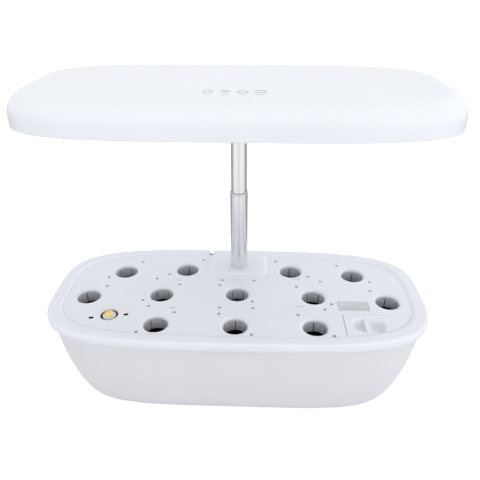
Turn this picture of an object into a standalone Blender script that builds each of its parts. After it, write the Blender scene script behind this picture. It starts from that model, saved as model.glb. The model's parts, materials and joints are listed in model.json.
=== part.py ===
"""Countertop hydroponic garden.

A tapered water tank carries a planting deck with twelve slit sockets, a fill door and a
water float. A telescopic pole stands in a socket under the deck and carries a lamp hood.
Metres, +Z up, front towards -Y, origin on the table under the middle of the deck.
"""

import math

import bmesh
import bpy
import numpy as np
from mathutils import Matrix, Vector

# Driving dimensions
DECK_WIDTH = 0.430
DECK_DEPTH = 0.190
BASE_HEIGHT = 0.112
HOOD_WIDTH = 0.412
HOOD_DEPTH = 0.197
HOOD_THICKNESS = 0.031
HOOD_RISE = 0.243
POLE_INSET = 0.038
HOOD_POLE_INSET = 0.0415
GAP = 0.0003
CUT_OVERRUN = 0.002
WELD = 0.000001
SHARP_ANGLE = math.radians(42)

# Outline of tank, deck and panel
DECK_POWER = 3.72
FINE_STEPS = 400
OUTLINE_COUNT = 48
EVEN_SHARE = 0.3
ROUND_COUNT = 20
SOCKET_COUNT = 16
SMALL_COUNT = 10

# Feet
FOOT_RADIUS = 0.008
FOOT_HEIGHT = 0.003
FOOT_CHAMFER = 0.0006
FOOT_POCKET = 0.001
FOOT_END_MARGIN = 0.0383
FOOT_SIDE_MARGIN = 0.0331

# Water tank
TANK_INSET = 0.005
TANK_WALL = 0.0024
TANK_FLOOR = 0.0028
END_TAPER = 0.0367
SIDE_TAPER = 0.0109
TANK_BOTTOM_POWER = 4.65
STRAIGHT_TAPER_SHARE = 0.56
TAPER_POWER = 3.6
TANK_BOTTOM_FILLET = 0.014
TANK_FILLET_STEPS = 4
LIP_RISE = 0.003
WALL_SHARES = (0, 0.3, 0.55, 0.75)

# Grow deck
RIM_HEIGHT = 0.016
RIM_FILLET = 0.0045
RIM_FILLET_STEPS = 3
SKIRT_WALL = 0.0024
SKIRT_TUCK = 0.0008
BULGE_SHARE = 0.55
PANEL_END_MARGIN = 0.014
PANEL_SIDE_MARGIN = 0.0108
PANEL_SINK = 0.0015
PANEL_STEP = 0.0012
PANEL_THICKNESS = 0.0025

# Plant sockets
SOCKET_RADIUS = 0.0131
SOCKET_FILLET = 0.004
SOCKET_FILLET_STEPS = 2
SOCKET_DEPTH = 0.0175
SOCKET_WALL = 0.002
SOCKET_FLARE = 0.003
FLARE_DROP = 0.0008
FLARE_HEIGHT = 0.003
SLIT_COUNT = 6
SLIT_WIDTH = 0.0012
SLIT_TOP = 0.0055

# Each socket's place in shares of the deck's half width and half depth, and the turn of
# its slits in shares of their pitch
SOCKET_SHARES = (
    (-0.6581, 0.4211, 0.33),
    (-0.3028, 0.4947, 0.5),
    (0.3028, 0.4947, 0.5),
    (0.6581, 0.4211, 0.31),
    (-0.8056, -0.1495, 0),
    (-0.4135, -0.08, 0.1),
    (0, -0.0442, 0),
    (0.4135, -0.08, -0.1),
    (0.8056, -0.1495, 0.42),
    (-0.4005, -0.6568, 0.1),
    (0, -0.6621, 0.5),
    (0.4005, -0.6568, 0.5),
)

# Raised plate round the pole, cable notch and cable channel
PLATE_HALF_WIDTH = 0.036
PLATE_FRONT_REACH = 0.022
PLATE_BACK_REACH = 0.031
PLATE_RISE = 0.0006
PLATE_CORNER = 0.008
PLATE_BEVEL = 0.0012
NOTCH_X = -0.038
NOTCH_WIDTH = 0.0057
NOTCH_INSET = 0.0114
NOTCH_STEPS = 6
CHANNEL_X = -0.0415
CHANNEL_REACH = 0.005
CHANNEL_DEPTH = 0.0006

# Fill port and its lift-off door
DOOR_LEFT_SHARE = 0.5488
DOOR_BACK_SHARE = 0.4263
DOOR_MARGIN = 0.003
DOOR_THICKNESS = 0.0024
DOOR_ARC_COUNT = 12
LEDGE_WIDTH = 0.002
LEDGE_THICKNESS = 0.002
PINCH_LEFT_MARGIN = 0.0085
PINCH_RIGHT_MARGIN = 0.0355
PINCH_BACK_MARGIN = 0.0045
PINCH_FRONT_MARGIN = 0.0122
PINCH_POWER = 2.6
PINCH_DEPTH = 0.007
PINCH_SLOPE = 0.004
PINCH_WALL = 0.0014
PINCH_COUNT = 24
UPRIGHT_SHARE = 0.75
RIDGE_OFFSET = -0.0015
RIDGE_HALF_TOP = 0.0018
RIDGE_HALF_FOOT = 0.0026
RIDGE_DROP = 0.0008

# Water float and its guide
FLOAT_SHARES = (-0.6512, -0.5158)
FLOAT_HOLE_RADIUS = 0.0099
FLOAT_STEM_RADIUS = 0.0072
FLOAT_BODY_RADIUS = 0.0116
FLOAT_BODY_HEIGHT = 0.024
FLOAT_TRAVEL = 0.021
FLOAT_CAP_DROP = 0.0005
FLOAT_CAP_THICKNESS = 0.005
FLOAT_WALL = 0.0016
FLOAT_CHAMFER = 0.0008
TIP_RADIUS = 0.0045
TIP_HEIGHT = 0.0043
TIP_SPIGOT_RADIUS = 0.0018
TIP_SPIGOT_LENGTH = 0.003
DOME_STEPS = 5
GUIDE_CLEARANCE = 0.0007
GUIDE_WALL = 0.0014
GUIDE_FLANGE = 0.002
GUIDE_HALF_X = 0.0245
GUIDE_HALF_Y = 0.0152
GUIDE_CORNER = 0.006
GUIDE_STOP_RADIUS = 0.009
GUIDE_WINDOW_WIDTH = 0.008
GUIDE_WINDOW_MARGIN = 0.006
HOOK_LINE_ANGLE = math.radians(10.6)
HOOK_OFFSET_Y = -0.0030
HOOK_SPREAD = 0.0187
HOOK_SLOT_HALF_X = 0.0025
HOOK_SLOT_HALF_Y = 0.0018
HOOK_DROP = 0.0005

# Telescopic pole
LOWER_TUBE_RADIUS = 0.01045
LOWER_TUBE_WALL = 0.0007
UPPER_TUBE_RADIUS = 0.0093
UPPER_TUBE_WALL = 0.0007
LOWER_TUBE_RISE = 0.1025
ROLLED_RIM_GROWTH = 0.0004
ROLLED_RIM_HEIGHT = 0.003
TUBE_CHAMFER = 0.0008
TUBE_OVERLAP = 0.050
GLIDE_STEM_LENGTH = 0.014
GLIDE_FOOT_LENGTH = 0.010
GLIDE_BORE_RADIUS = 0.005
GLIDE_CLEARANCE = 0.0003

# Pole socket under the deck
SOCKET_BOSS_DROP = 0.005
SOCKET_BOSS_RADIUS = 0.0034
SOCKET_BOSS_CIRCLE = 0.019
SOCKET_FLANGE_RADIUS = 0.0235
SOCKET_FLANGE_THICKNESS = 0.0024
SOCKET_TUBE_WALL = 0.0022
SOCKET_TUBE_LENGTH = 0.045
SOCKET_END_WALL = 0.003
SOCKET_DRAIN_RADIUS = 0.003

# Screws
SCREW_RADIUS = 0.0012
SCREW_HEAD_RADIUS = 0.0028
SCREW_HEAD_HEIGHT = 0.0012
SCREW_LENGTH = 0.007
SCREW_DRIVE_RADIUS = 0.0012
SCREW_DRIVE_DEPTH = 0.0007

# Lamp hood
HOOD_POWER = 4.0
HOOD_EDGE = 0.0197
HOOD_DOME = 0.001
HOOD_WALL = 0.0022
HOOD_LIP_CHAMFER = 0.001
DOME_SHARES = (0.35, 0.7)
EDGE_STEPS = 5
INNER_EDGE_STEPS = 3
BASE_RECESS = 0.0016
BASE_THICKNESS = 0.002
HOOD_BOSS_RADIUS = 0.0035
HOOD_BOSS_END_INSET = 0.038
HOOD_BOSS_SIDE_INSET = 0.0425
HOOD_MIDDLE_BOSS_INSET = 0.0185

# Light panel in the hood
WINDOW_END_MARGIN = 0.056
WINDOW_FRONT_MARGIN = 0.0365
WINDOW_BACK_MARGIN = 0.0725
WINDOW_CORNER = 0.006
DIFFUSER_BORDER = 0.005
DIFFUSER_THICKNESS = 0.0015
FRAME_WALL = 0.003
FRAME_HEIGHT = 0.006
BOARD_THICKNESS = 0.0016
BOARD_CORNER = 0.003

# Driver board and touch control board
DRIVER_END_INSET = 0.121
DRIVER_BACK_INSET = 0.0405
DRIVER_HALF_X = 0.028
DRIVER_HALF_Y = 0.014
STANDOFF_RADIUS = 0.002
STANDOFF_HEIGHT = 0.003
STANDOFF_MARGIN = 0.004
PART_MARGIN = 0.003
COIL_HALF = 0.006
COIL_HEIGHT = 0.009
CAPACITOR_RADIUS = 0.004
CAPACITOR_HEIGHT = 0.010
TOUCH_INSET = 0.0425
TOUCH_PITCH = 0.015
TOUCH_COUNT = 4
TOUCH_RADIUS = 0.003
TOUCH_HEIGHT = 0.005
SPRING_WIRE = 0.0004
SPRING_TURNS = 3
SPRING_SIDES = 4
SPRING_STEPS = 8
CONTROL_HALF_X = 0.038
CONTROL_HALF_Y = 0.010
POST_RADIUS = 0.0025
POST_PIN_RADIUS = 0.001
POST_PIN_REACH = 0.001
POST_X = 0.033

# Pole bracket in the hood
BRACKET_WALL = 0.0024
BRACKET_BORE_DEPTH = 0.020
BRACKET_CEILING = 0.002
BRACKET_FLANGE_RADIUS = 0.0185
BRACKET_FLANGE_THICKNESS = 0.005
BRACKET_SCREW_CIRCLE = 0.0152

# Round supply sockets in the rear of the hood
JACK_X = 0.040
JACK_RADIUS = 0.0038
JACK_BORE_RADIUS = 0.00275
JACK_BORE_DEPTH = 0.009
JACK_PIN_RADIUS = 0.001
JACK_HALF_WIDTH = 0.0055
JACK_BODY_HEIGHT = 0.0085
JACK_BODY_LENGTH = 0.012
JACK_SETBACK = 0.0009
JACK_SHY = 0.0004

# Circulation pump on the tank floor
PUMP_X = -0.030
PUMP_FRONT_INSET = 0.065
PUMP_HALF_WIDTH = 0.017
PUMP_HEIGHT = 0.026
PUMP_LENGTH = 0.032
PUMP_CORNER = 0.003
PUMP_CORNER_STEPS = 3
CHAMBER_RADIUS = 0.0095
CHAMBER_DEPTH = 0.007
WELL_RADIUS = 0.0063
WELL_DEPTH = 0.021
ROTOR_RADIUS = 0.0057
ROTOR_SHY = 0.001
HUB_RADIUS = 0.004
BLADE_RADIUS = 0.0083
BLADE_COUNT = 6
BLADE_THICKNESS = 0.0012
SHAFT_RADIUS = 0.001
SHAFT_SEAT = 0.0015
STATOR_HALF_WIDTH = 0.0125
STATOR_HALF_HEIGHT = 0.0085
STATOR_DEPTH = 0.008
COVER_THICKNESS = 0.003
COVER_RIM_DEPTH = 0.009
COVER_WALL = 0.0015
INTAKE_HOLE_RADIUS = 0.002
INTAKE_HOLE_CIRCLE = 0.006
INTAKE_HOLE_COUNT = 6
GRILLE_THICKNESS = 0.0015
GRILLE_SLOT_COUNT = 5
GRILLE_SLOT_WIDTH = 0.0022
GRILLE_SLOT_MARGIN = 0.004
OUTLET_SETBACK = 0.0042
OUTLET_BORE_RADIUS = 0.0016
OUTLET_RADIUS = 0.0027
OUTLET_FLANGE_RADIUS = 0.0038
OUTLET_FLANGE_THICKNESS = 0.0015
OUTLET_RISE = 0.014
OUTLET_SEAT = 0.002
CUP_RADIUS = 0.006
CUP_NECK_RADIUS = 0.0025
CUP_HEIGHT = 0.005
CUP_HOLLOW = 0.0012
CUP_STEM_RADIUS = 0.0018
CUP_STEM_LENGTH = 0.002
CUP_MARGIN = 0.005

# Levels and places worked out from the sizes above
TANK_BOTTOM = FOOT_HEIGHT + GAP - FOOT_POCKET
DECK_TOP = TANK_BOTTOM + BASE_HEIGHT
RIM_BOTTOM = DECK_TOP - RIM_HEIGHT
PANEL_TOP = DECK_TOP - PANEL_SINK
PANEL_UNDER = PANEL_TOP - PANEL_THICKNESS
TANK_TOP = PANEL_UNDER - GAP
FLOOR_TOP = TANK_BOTTOM + TANK_FLOOR
PLATE_TOP = DECK_TOP + PLATE_RISE
DECK_HALF_X = DECK_WIDTH / 2
DECK_HALF_Y = DECK_DEPTH / 2
SKIRT_INNER = SKIRT_TUCK + SKIRT_WALL
LIP_INSET = SKIRT_INNER + GAP
PANEL_HALF_X = DECK_HALF_X - PANEL_END_MARGIN
PANEL_HALF_Y = DECK_HALF_Y - PANEL_SIDE_MARGIN
HOOD_TOP = DECK_TOP + HOOD_RISE
HOOD_BOTTOM = HOOD_TOP - HOOD_THICKNESS
HOOD_HALF_X = HOOD_WIDTH / 2
HOOD_HALF_Y = HOOD_DEPTH / 2
HOOD_CEILING = HOOD_TOP - HOOD_DOME - HOOD_WALL
BASE_BOTTOM = HOOD_BOTTOM + BASE_RECESS
BASE_TOP = BASE_BOTTOM + BASE_THICKNESS
TUBE_JOINT = DECK_TOP + LOWER_TUBE_RISE
SOCKET_TOP = PANEL_UNDER - SOCKET_BOSS_DROP - GAP
SOCKET_FOOT = SOCKET_TOP - SOCKET_TUBE_LENGTH
BRACKET_BOTTOM = BASE_TOP + GAP
BRACKET_BORE_TOP = BRACKET_BOTTOM + BRACKET_BORE_DEPTH
UPPER_TUBE_TOP = BRACKET_BORE_TOP - GAP
CONTROL_TOP = HOOD_CEILING - GAP - TOUCH_HEIGHT - GAP
JACK_Z = BASE_TOP + GAP + JACK_BODY_HEIGHT / 2
PILOT_RADIUS = SCREW_RADIUS + GAP
POLE_Y = DECK_HALF_Y - POLE_INSET
FOOT_X = DECK_HALF_X - TANK_INSET - END_TAPER - FOOT_END_MARGIN
FOOT_Y = DECK_HALF_Y - TANK_INSET - SIDE_TAPER - FOOT_SIDE_MARGIN
SOCKET_PLACES = [(x_share * DECK_HALF_X, y_share * DECK_HALF_Y, turn_share)
                 for x_share, y_share, turn_share in SOCKET_SHARES]
PLATE_FRONT_Y = POLE_Y - PLATE_FRONT_REACH
PLATE_BACK_Y = POLE_Y + PLATE_BACK_REACH
NOTCH_FRONT_Y = DECK_HALF_Y - NOTCH_INSET
CHANNEL_FRONT_Y = POLE_Y - CHANNEL_REACH
PORT_HALF_X = PANEL_HALF_X - DOOR_MARGIN
PORT_HALF_Y = PANEL_HALF_Y - DOOR_MARGIN
DOOR_LEFT_X = DOOR_LEFT_SHARE * DECK_HALF_X
DOOR_BACK_Y = -DOOR_BACK_SHARE * DECK_HALF_Y
PINCH_LEFT_X = DOOR_LEFT_X + PINCH_LEFT_MARGIN
PINCH_BACK_Y = DOOR_BACK_Y - PINCH_BACK_MARGIN
PINCH_HALF_X = (PORT_HALF_X - PINCH_RIGHT_MARGIN - PINCH_LEFT_X) / 2
PINCH_HALF_Y = (PINCH_BACK_Y + PORT_HALF_Y - PINCH_FRONT_MARGIN) / 2
PINCH_X = PINCH_LEFT_X + PINCH_HALF_X
PINCH_Y = PINCH_BACK_Y - PINCH_HALF_Y
FLOAT_X = FLOAT_SHARES[0] * DECK_HALF_X
FLOAT_Y = FLOAT_SHARES[1] * DECK_HALF_Y
PUMP_FRONT_Y = DECK_HALF_Y - PUMP_FRONT_INSET
HOOD_Y = POLE_Y + HOOD_POLE_INSET - HOOD_HALF_Y
HOOD_BACK_Y = HOOD_Y + HOOD_HALF_Y
HOOD_FRONT_Y = HOOD_Y - HOOD_HALF_Y
HOOD_BOSS_X = HOOD_HALF_X - HOOD_BOSS_END_INSET
HOOD_BOSS_Y = HOOD_HALF_Y - HOOD_BOSS_SIDE_INSET
HOOD_MIDDLE_BOSS_Y = HOOD_HALF_Y - HOOD_MIDDLE_BOSS_INSET
WINDOW_HALF_X = HOOD_HALF_X - WINDOW_END_MARGIN
WINDOW_HALF_Y = (HOOD_DEPTH - WINDOW_FRONT_MARGIN - WINDOW_BACK_MARGIN) / 2
LIGHT_Y = HOOD_FRONT_Y + WINDOW_FRONT_MARGIN + WINDOW_HALF_Y
DRIVER_X = HOOD_HALF_X - DRIVER_END_INSET
DRIVER_Y = HOOD_BACK_Y - DRIVER_BACK_INSET
TOUCH_Y = HOOD_FRONT_Y + TOUCH_INSET


def clear_scene():
    """Remove every object, so that the script starts from nothing."""
    for old in list(bpy.data.objects):
        bpy.data.objects.remove(old, do_unlink=True)


def finish(name, colour, roughness, metallic=0.0, transmission=0.0):
    """One Principled material."""
    material = bpy.data.materials.new(name)
    material.use_nodes = True
    shader = material.node_tree.nodes["Principled BSDF"]
    shader.inputs["Base Color"].default_value = (*colour, 1.0)
    shader.inputs["Roughness"].default_value = roughness
    shader.inputs["Metallic"].default_value = metallic
    shader.inputs["Transmission Weight"].default_value = transmission
    material.diffuse_color = (*colour, 1.0)
    return material


def superellipse_loop(half_x, half_y, power, height, count=OUTLINE_COUNT, centre=(0, 0)):
    """A level outline |x/a|^p + |y/b|^p = 1 with its points gathered where it bends."""
    sweep = np.linspace(0, math.pi / 2, FINE_STEPS)
    fine_x = half_x * np.abs(np.cos(sweep)) ** (2 / power)
    fine_y = half_y * np.abs(np.sin(sweep)) ** (2 / power)
    step_x = np.diff(fine_x)
    step_y = np.diff(fine_y)
    length = np.concatenate(([0.0], np.cumsum(np.hypot(step_x, step_y))))
    heading = np.arctan2(step_y, step_x)
    bend = np.concatenate(([0.0], heading - heading[0], [heading[-1] - heading[0]]))
    bend = (bend[:-1] + bend[1:]) / 2
    measure = EVEN_SHARE * length / length[-1] + (1 - EVEN_SHARE) * bend / bend[-1]
    places = np.linspace(0, measure[-1], count // 4 + 1)
    x = np.interp(places, measure, fine_x)
    y = np.interp(places, measure, fine_y)
    x[-1] = 0
    y[0] = 0
    ring_x = np.concatenate((x[:-1], -x[:0:-1], -x[:-1], x[:0:-1]))
    ring_y = np.concatenate((y[:-1], y[:0:-1], -y[:-1], -y[:0:-1]))
    return [(centre[0] + px, centre[1] + py, height) for px, py in zip(ring_x, ring_y)]


def circle_loop(radius, height, count=ROUND_COUNT, centre=(0, 0), turn=0.0):
    """A level circle."""
    angles = turn + np.arange(count) * 2 * math.pi / count
    return [(centre[0] + radius * math.cos(angle), centre[1] + radius * math.sin(angle), height)
            for angle in angles]


def rounded_loop(half_x, half_y, corner, height, steps=3, centre=(0, 0)):
    """A level rectangle with round corners."""
    points = []
    for quadrant, (side_x, side_y) in enumerate(((1, 1), (-1, 1), (-1, -1), (1, -1))):
        for step in range(steps + 1):
            angle = (quadrant + step / steps) * math.pi / 2
            x = side_x * (half_x - corner) + corner * math.cos(angle)
            y = side_y * (half_y - corner) + corner * math.sin(angle)
            points.append((centre[0] + x, centre[1] + y, height))
    return points


def loft(name, loops, ring=False):
    """A closed mesh through equal loops, capped at both ends or joined into a ring."""
    count = len(loops[0])
    shape = bmesh.new()
    rows = [[shape.verts.new(point) for point in loop] for loop in loops]
    pairs = list(zip(rows[:-1], rows[1:]))
    if ring:
        pairs.append((rows[-1], rows[0]))
    for lower, upper in pairs:
        for index in range(count):
            after = (index + 1) % count
            shape.faces.new((lower[index], lower[after], upper[after], upper[index]))
    if not ring:
        shape.faces.new(list(reversed(rows[0])))
        shape.faces.new(rows[-1])
    bmesh.ops.remove_doubles(shape, verts=shape.verts, dist=WELD)
    bmesh.ops.recalc_face_normals(shape, faces=shape.faces)
    mesh = bpy.data.meshes.new(name)
    shape.to_mesh(mesh)
    shape.free()
    return mesh


def turned(name, profile, count=ROUND_COUNT, ring=False, turn=0.0):
    """A mesh turned round Z from (radius, height) pairs."""
    loops = [circle_loop(radius, height, count, turn=turn) for radius, height in profile]
    return loft(name, loops, ring)


def block(name, half_x, half_y, low, high):
    """A plain box between two heights, centred in X and Y."""
    corners = ((half_x, half_y), (-half_x, half_y), (-half_x, -half_y), (half_x, -half_y))
    return loft(name, [[(x, y, height) for x, y in corners] for height in (low, high)])


def prism(name, outline, low, high):
    """An upright prism over a list of (x, y) points."""
    return loft(name, [[(x, y, height) for x, y in outline] for height in (low, high)])


def merged(name, meshes_and_places):
    """One mesh holding a copy of each mesh at its (x, y, z) place and turn about Z."""
    shape = bmesh.new()
    for mesh, place, turn in meshes_and_places:
        first = len(shape.verts)
        shape.from_mesh(mesh)
        shape.verts.ensure_lookup_table()
        cosine = math.cos(turn)
        sine = math.sin(turn)
        for vert in shape.verts[first:]:
            x, y, z = vert.co
            vert.co.x = place[0] + x * cosine - y * sine
            vert.co.y = place[1] + x * sine + y * cosine
            vert.co.z = place[2] + z
    mesh = bpy.data.meshes.new(name)
    shape.to_mesh(mesh)
    shape.free()
    return mesh


def lie_down(mesh):
    """Turn a mesh from the Z axis onto the Y axis, so that its top faces the back."""
    mesh.transform(Matrix.Rotation(-math.pi / 2, 4, "X"))
    return mesh


def empty(name, location):
    """An empty that marks a joint's axis and carries the pieces that move with it."""
    holder = bpy.data.objects.new(name, None)
    holder.location = location
    bpy.context.collection.objects.link(holder)
    return holder


def piece(name, mesh, material, place=(0, 0, 0), parent=None):
    """A visible piece at its place in the world, smooth except at sharp edges."""
    mesh.shade_smooth()
    mesh.set_sharp_from_angle(angle=SHARP_ANGLE)
    mesh.materials.append(material)
    body = bpy.data.objects.new(name, mesh)
    body.location = place
    if parent is not None:
        body.parent = parent
        body.location = Vector(place) - parent.location
    bpy.context.collection.objects.link(body)
    return body


def tool(name, mesh, place=(0, 0, 0)):
    """A hidden shape that a Boolean cuts away or joins on."""
    mesh.shade_smooth()
    mesh.set_sharp_from_angle(angle=SHARP_ANGLE)
    body = bpy.data.objects.new(name, mesh)
    body.location = place
    body.display_type = "WIRE"
    body.hide_render = True
    bpy.context.collection.objects.link(body)
    return body


def boolean(target, helper, operation):
    """Join a helper shape to a piece, or cut it away, with the exact solver."""
    step = target.modifiers.new(helper.name, "BOOLEAN")
    step.object = helper
    step.operation = operation
    step.solver = "EXACT"


def join(target, helper):
    """Join a helper shape to a piece."""
    boolean(target, helper, "UNION")


def cut(target, helper):
    """Cut a helper shape out of a piece."""
    boolean(target, helper, "DIFFERENCE")


def tank_section(share, inset, height):
    """The tank's outline, a share of the way down from rim to bottom, inset by a wall."""
    narrowing = STRAIGHT_TAPER_SHARE * share + (1 - STRAIGHT_TAPER_SHARE) * share ** TAPER_POWER
    half_x = DECK_HALF_X - TANK_INSET - END_TAPER * narrowing - inset
    half_y = DECK_HALF_Y - TANK_INSET - SIDE_TAPER * narrowing - inset
    power = DECK_POWER + (TANK_BOTTOM_POWER - DECK_POWER) * share
    return superellipse_loop(half_x, half_y, power, height)


def tank_wall_loops(wall, floor):
    """One face of the tank's wall from its floor fillet up to just under the lip."""
    drop = RIM_BOTTOM - TANK_BOTTOM
    last_share = 1 - TANK_BOTTOM_FILLET / drop
    radius = TANK_BOTTOM_FILLET - floor
    loops = []
    for step in range(TANK_FILLET_STEPS + 1):
        angle = (1 - step / TANK_FILLET_STEPS) * math.pi / 2
        inset = wall + radius * (1 - math.cos(angle))
        height = TANK_BOTTOM + TANK_BOTTOM_FILLET - radius * math.sin(angle)
        loops.append(tank_section(last_share, inset, height))
    for share in reversed(WALL_SHARES):
        loops.append(tank_section(share, wall, RIM_BOTTOM - drop * share))
    return loops


def deck_loop(inset, height):
    """The deck's outline, inset from its widest."""
    return superellipse_loop(DECK_HALF_X - inset, DECK_HALF_Y - inset, DECK_POWER, height)


def foot_places():
    """Where the four feet stand."""
    return [(side_x * FOOT_X, side_y * FOOT_Y, 0)
            for side_x in (-1, 1) for side_y in (-1, 1)]


def build_tank(white, rubber):
    """The open bowl that holds the water, on four rubber feet."""
    outer = tank_wall_loops(0, 0)
    lip = [deck_loop(LIP_INSET, RIM_BOTTOM + LIP_RISE), deck_loop(LIP_INSET, TANK_TOP),
           deck_loop(LIP_INSET + TANK_WALL, TANK_TOP),
           deck_loop(LIP_INSET + TANK_WALL, RIM_BOTTOM + LIP_RISE)]
    inner = list(reversed(tank_wall_loops(TANK_WALL, TANK_FLOOR)))
    tank = piece("water_tank", loft("water_tank", outer + lip + inner), white)
    pocket = turned("foot_pocket", [(FOOT_RADIUS + GAP, TANK_BOTTOM - CUT_OVERRUN),
                                    (FOOT_RADIUS + GAP, TANK_BOTTOM + FOOT_POCKET)])
    pockets = merged("foot_pockets", [(pocket, place, 0) for place in foot_places()])
    cut(tank, tool("foot_pocket_cutter", pockets))
    profile = [(FOOT_RADIUS - FOOT_CHAMFER, 0), (FOOT_RADIUS, FOOT_CHAMFER),
               (FOOT_RADIUS, FOOT_HEIGHT)]
    for number, place in enumerate(foot_places(), start=1):
        piece(f"foot_{number}", turned(f"foot_{number}", profile), rubber, place)


def deck_shell():
    """The deck's skin: sunk panel, rounded rim, skirt and flat underside."""
    loops = [superellipse_loop(PANEL_HALF_X - PANEL_STEP, PANEL_HALF_Y - PANEL_STEP,
                               DECK_POWER, PANEL_TOP),
             superellipse_loop(PANEL_HALF_X, PANEL_HALF_Y, DECK_POWER, DECK_TOP)]
    for step in range(RIM_FILLET_STEPS + 1):
        angle = step / RIM_FILLET_STEPS * math.pi / 2
        inset = RIM_FILLET * (1 - math.sin(angle))
        height = DECK_TOP - RIM_FILLET * (1 - math.cos(angle))
        loops.append(deck_loop(inset, height))
    loops.append(deck_loop(0, DECK_TOP - RIM_HEIGHT * BULGE_SHARE))
    loops.append(deck_loop(SKIRT_TUCK, RIM_BOTTOM))
    loops.append(deck_loop(SKIRT_INNER, RIM_BOTTOM))
    loops.append(deck_loop(SKIRT_INNER, PANEL_UNDER))
    return loft("grow_deck", loops)


def socket_tubes():
    """The twelve tubes below the panel, flared where they meet it."""
    outer = SOCKET_RADIUS + SOCKET_WALL
    profile = [(outer + SOCKET_FLARE, PANEL_TOP - PANEL_THICKNESS / 2),
               (outer + SOCKET_FLARE, PANEL_UNDER - FLARE_DROP),
               (outer, PANEL_UNDER - FLARE_HEIGHT),
               (outer, PANEL_TOP - SOCKET_DEPTH)]
    tube = turned("socket_tube", profile, SOCKET_COUNT)
    return merged("socket_tubes", [(tube, (x, y, 0), 0) for x, y, _ in SOCKET_PLACES])


def socket_bores():
    """The twelve bores, each with a wide fillet at the panel."""
    profile = [(SOCKET_RADIUS + SOCKET_FILLET, PANEL_TOP + CUT_OVERRUN)]
    for step in range(SOCKET_FILLET_STEPS + 1):
        angle = step / SOCKET_FILLET_STEPS * math.pi / 2
        radius = SOCKET_RADIUS + SOCKET_FILLET * (1 - math.sin(angle))
        profile.append((radius, PANEL_TOP - SOCKET_FILLET * (1 - math.cos(angle))))
    profile.append((SOCKET_RADIUS, PANEL_TOP - SOCKET_DEPTH - CUT_OVERRUN))
    bore = turned("socket_bore", profile, SOCKET_COUNT)
    return merged("socket_bores", [(bore, (x, y, 0), 0) for x, y, _ in SOCKET_PLACES])


def socket_slits():
    """Six slits in each socket's wall, open at its lower end."""
    reach = SOCKET_WALL + SOCKET_FLARE
    slit = block("socket_slit", reach, SLIT_WIDTH / 2, PANEL_TOP - SOCKET_DEPTH - CUT_OVERRUN,
                 PANEL_TOP - SLIT_TOP)
    middle = SOCKET_RADIUS + SOCKET_WALL / 2
    pitch = 2 * math.pi / SLIT_COUNT
    copies = []
    for x, y, turn_share in SOCKET_PLACES:
        for index in range(SLIT_COUNT):
            angle = (index + turn_share) * pitch
            place = (x + middle * math.cos(angle), y + middle * math.sin(angle), 0)
            copies.append((slit, place, angle))
    return merged("socket_slits", copies)


def port_outline(growth):
    """The fill port's outline: two straight sides and a stretch of the panel's own curve."""
    half_x = PORT_HALF_X + growth
    half_y = PORT_HALF_Y + growth
    left = DOOR_LEFT_X - growth
    back = DOOR_BACK_Y + growth
    start = math.acos((left / half_x) ** (DECK_POWER / 2))
    end = math.asin((-back / half_y) ** (DECK_POWER / 2))
    points = [(left, back)]
    for step in range(DOOR_ARC_COUNT + 1):
        angle = start + (end - start) * step / DOOR_ARC_COUNT
        x = half_x * math.cos(angle) ** (2 / DECK_POWER)
        y = -half_y * math.sin(angle) ** (2 / DECK_POWER)
        points.append((x, y))
    return points


def pinch_loop(growth, depth):
    """One level of the pinch recess, narrower with depth, in the door's own frame."""
    shrink = PINCH_SLOPE * min(depth / PINCH_DEPTH, 1) - growth
    return superellipse_loop(PINCH_HALF_X - shrink, PINCH_HALF_Y - shrink, PINCH_POWER,
                             -depth, PINCH_COUNT, (PINCH_X, PINCH_Y))


def build_door(white):
    """The lift-off fill door with its pinch recess and ridge."""
    place = (0, 0, PANEL_TOP)
    axis = empty("door_axis", place)
    plate = prism("fill_door", port_outline(0), -DOOR_THICKNESS, 0)
    door = piece("fill_door", plate, white, place, axis)
    cup = loft("pinch_cup", [pinch_loop(PINCH_WALL, DOOR_THICKNESS / 2),
                             pinch_loop(PINCH_WALL, PINCH_DEPTH),
                             pinch_loop(0, PINCH_DEPTH + PINCH_WALL)])
    join(door, tool("pinch_cup_shape", cup, place))
    recess = loft("pinch_recess", [pinch_loop(0, -CUT_OVERRUN), pinch_loop(0, 0),
                                   pinch_loop(0, PINCH_DEPTH * UPRIGHT_SHARE),
                                   pinch_loop(-PINCH_WALL, PINCH_DEPTH)])
    cut(door, tool("pinch_recess_cutter", recess, place))
    ridge_x = PINCH_X + RIDGE_OFFSET
    upper_y = PINCH_HALF_Y + PINCH_WALL / 2
    lower_y = PINCH_HALF_Y - PINCH_SLOPE + PINCH_WALL / 2
    levels = ((RIDGE_HALF_FOOT, lower_y, -PINCH_DEPTH - PINCH_WALL / 2),
              (RIDGE_HALF_TOP, upper_y, -RIDGE_DROP))
    corners = ((1, 1), (-1, 1), (-1, -1), (1, -1))
    ridge = loft("pinch_ridge", [[(ridge_x + side_x * half_x, PINCH_Y + side_y * half_y, height)
                                  for side_x, side_y in corners]
                                 for half_x, half_y, height in levels])
    join(door, tool("pinch_ridge_shape", ridge, place))


def hook_places():
    """Middle points of the two hooks that hold the float guide."""
    places = []
    for side in (-1, 1):
        x = FLOAT_X + side * HOOK_SPREAD * math.cos(HOOK_LINE_ANGLE)
        y = FLOAT_Y + HOOK_OFFSET_Y + side * HOOK_SPREAD * math.sin(HOOK_LINE_ANGLE)
        places.append((x, y, 0))
    return places


def boss_places(circle):
    """Four points at 45 degrees round the pole."""
    reach = circle * math.sqrt(2) / 2
    return [(side_x * reach, POLE_Y + side_y * reach, 0)
            for side_x in (-1, 1) for side_y in (-1, 1)]


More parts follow.
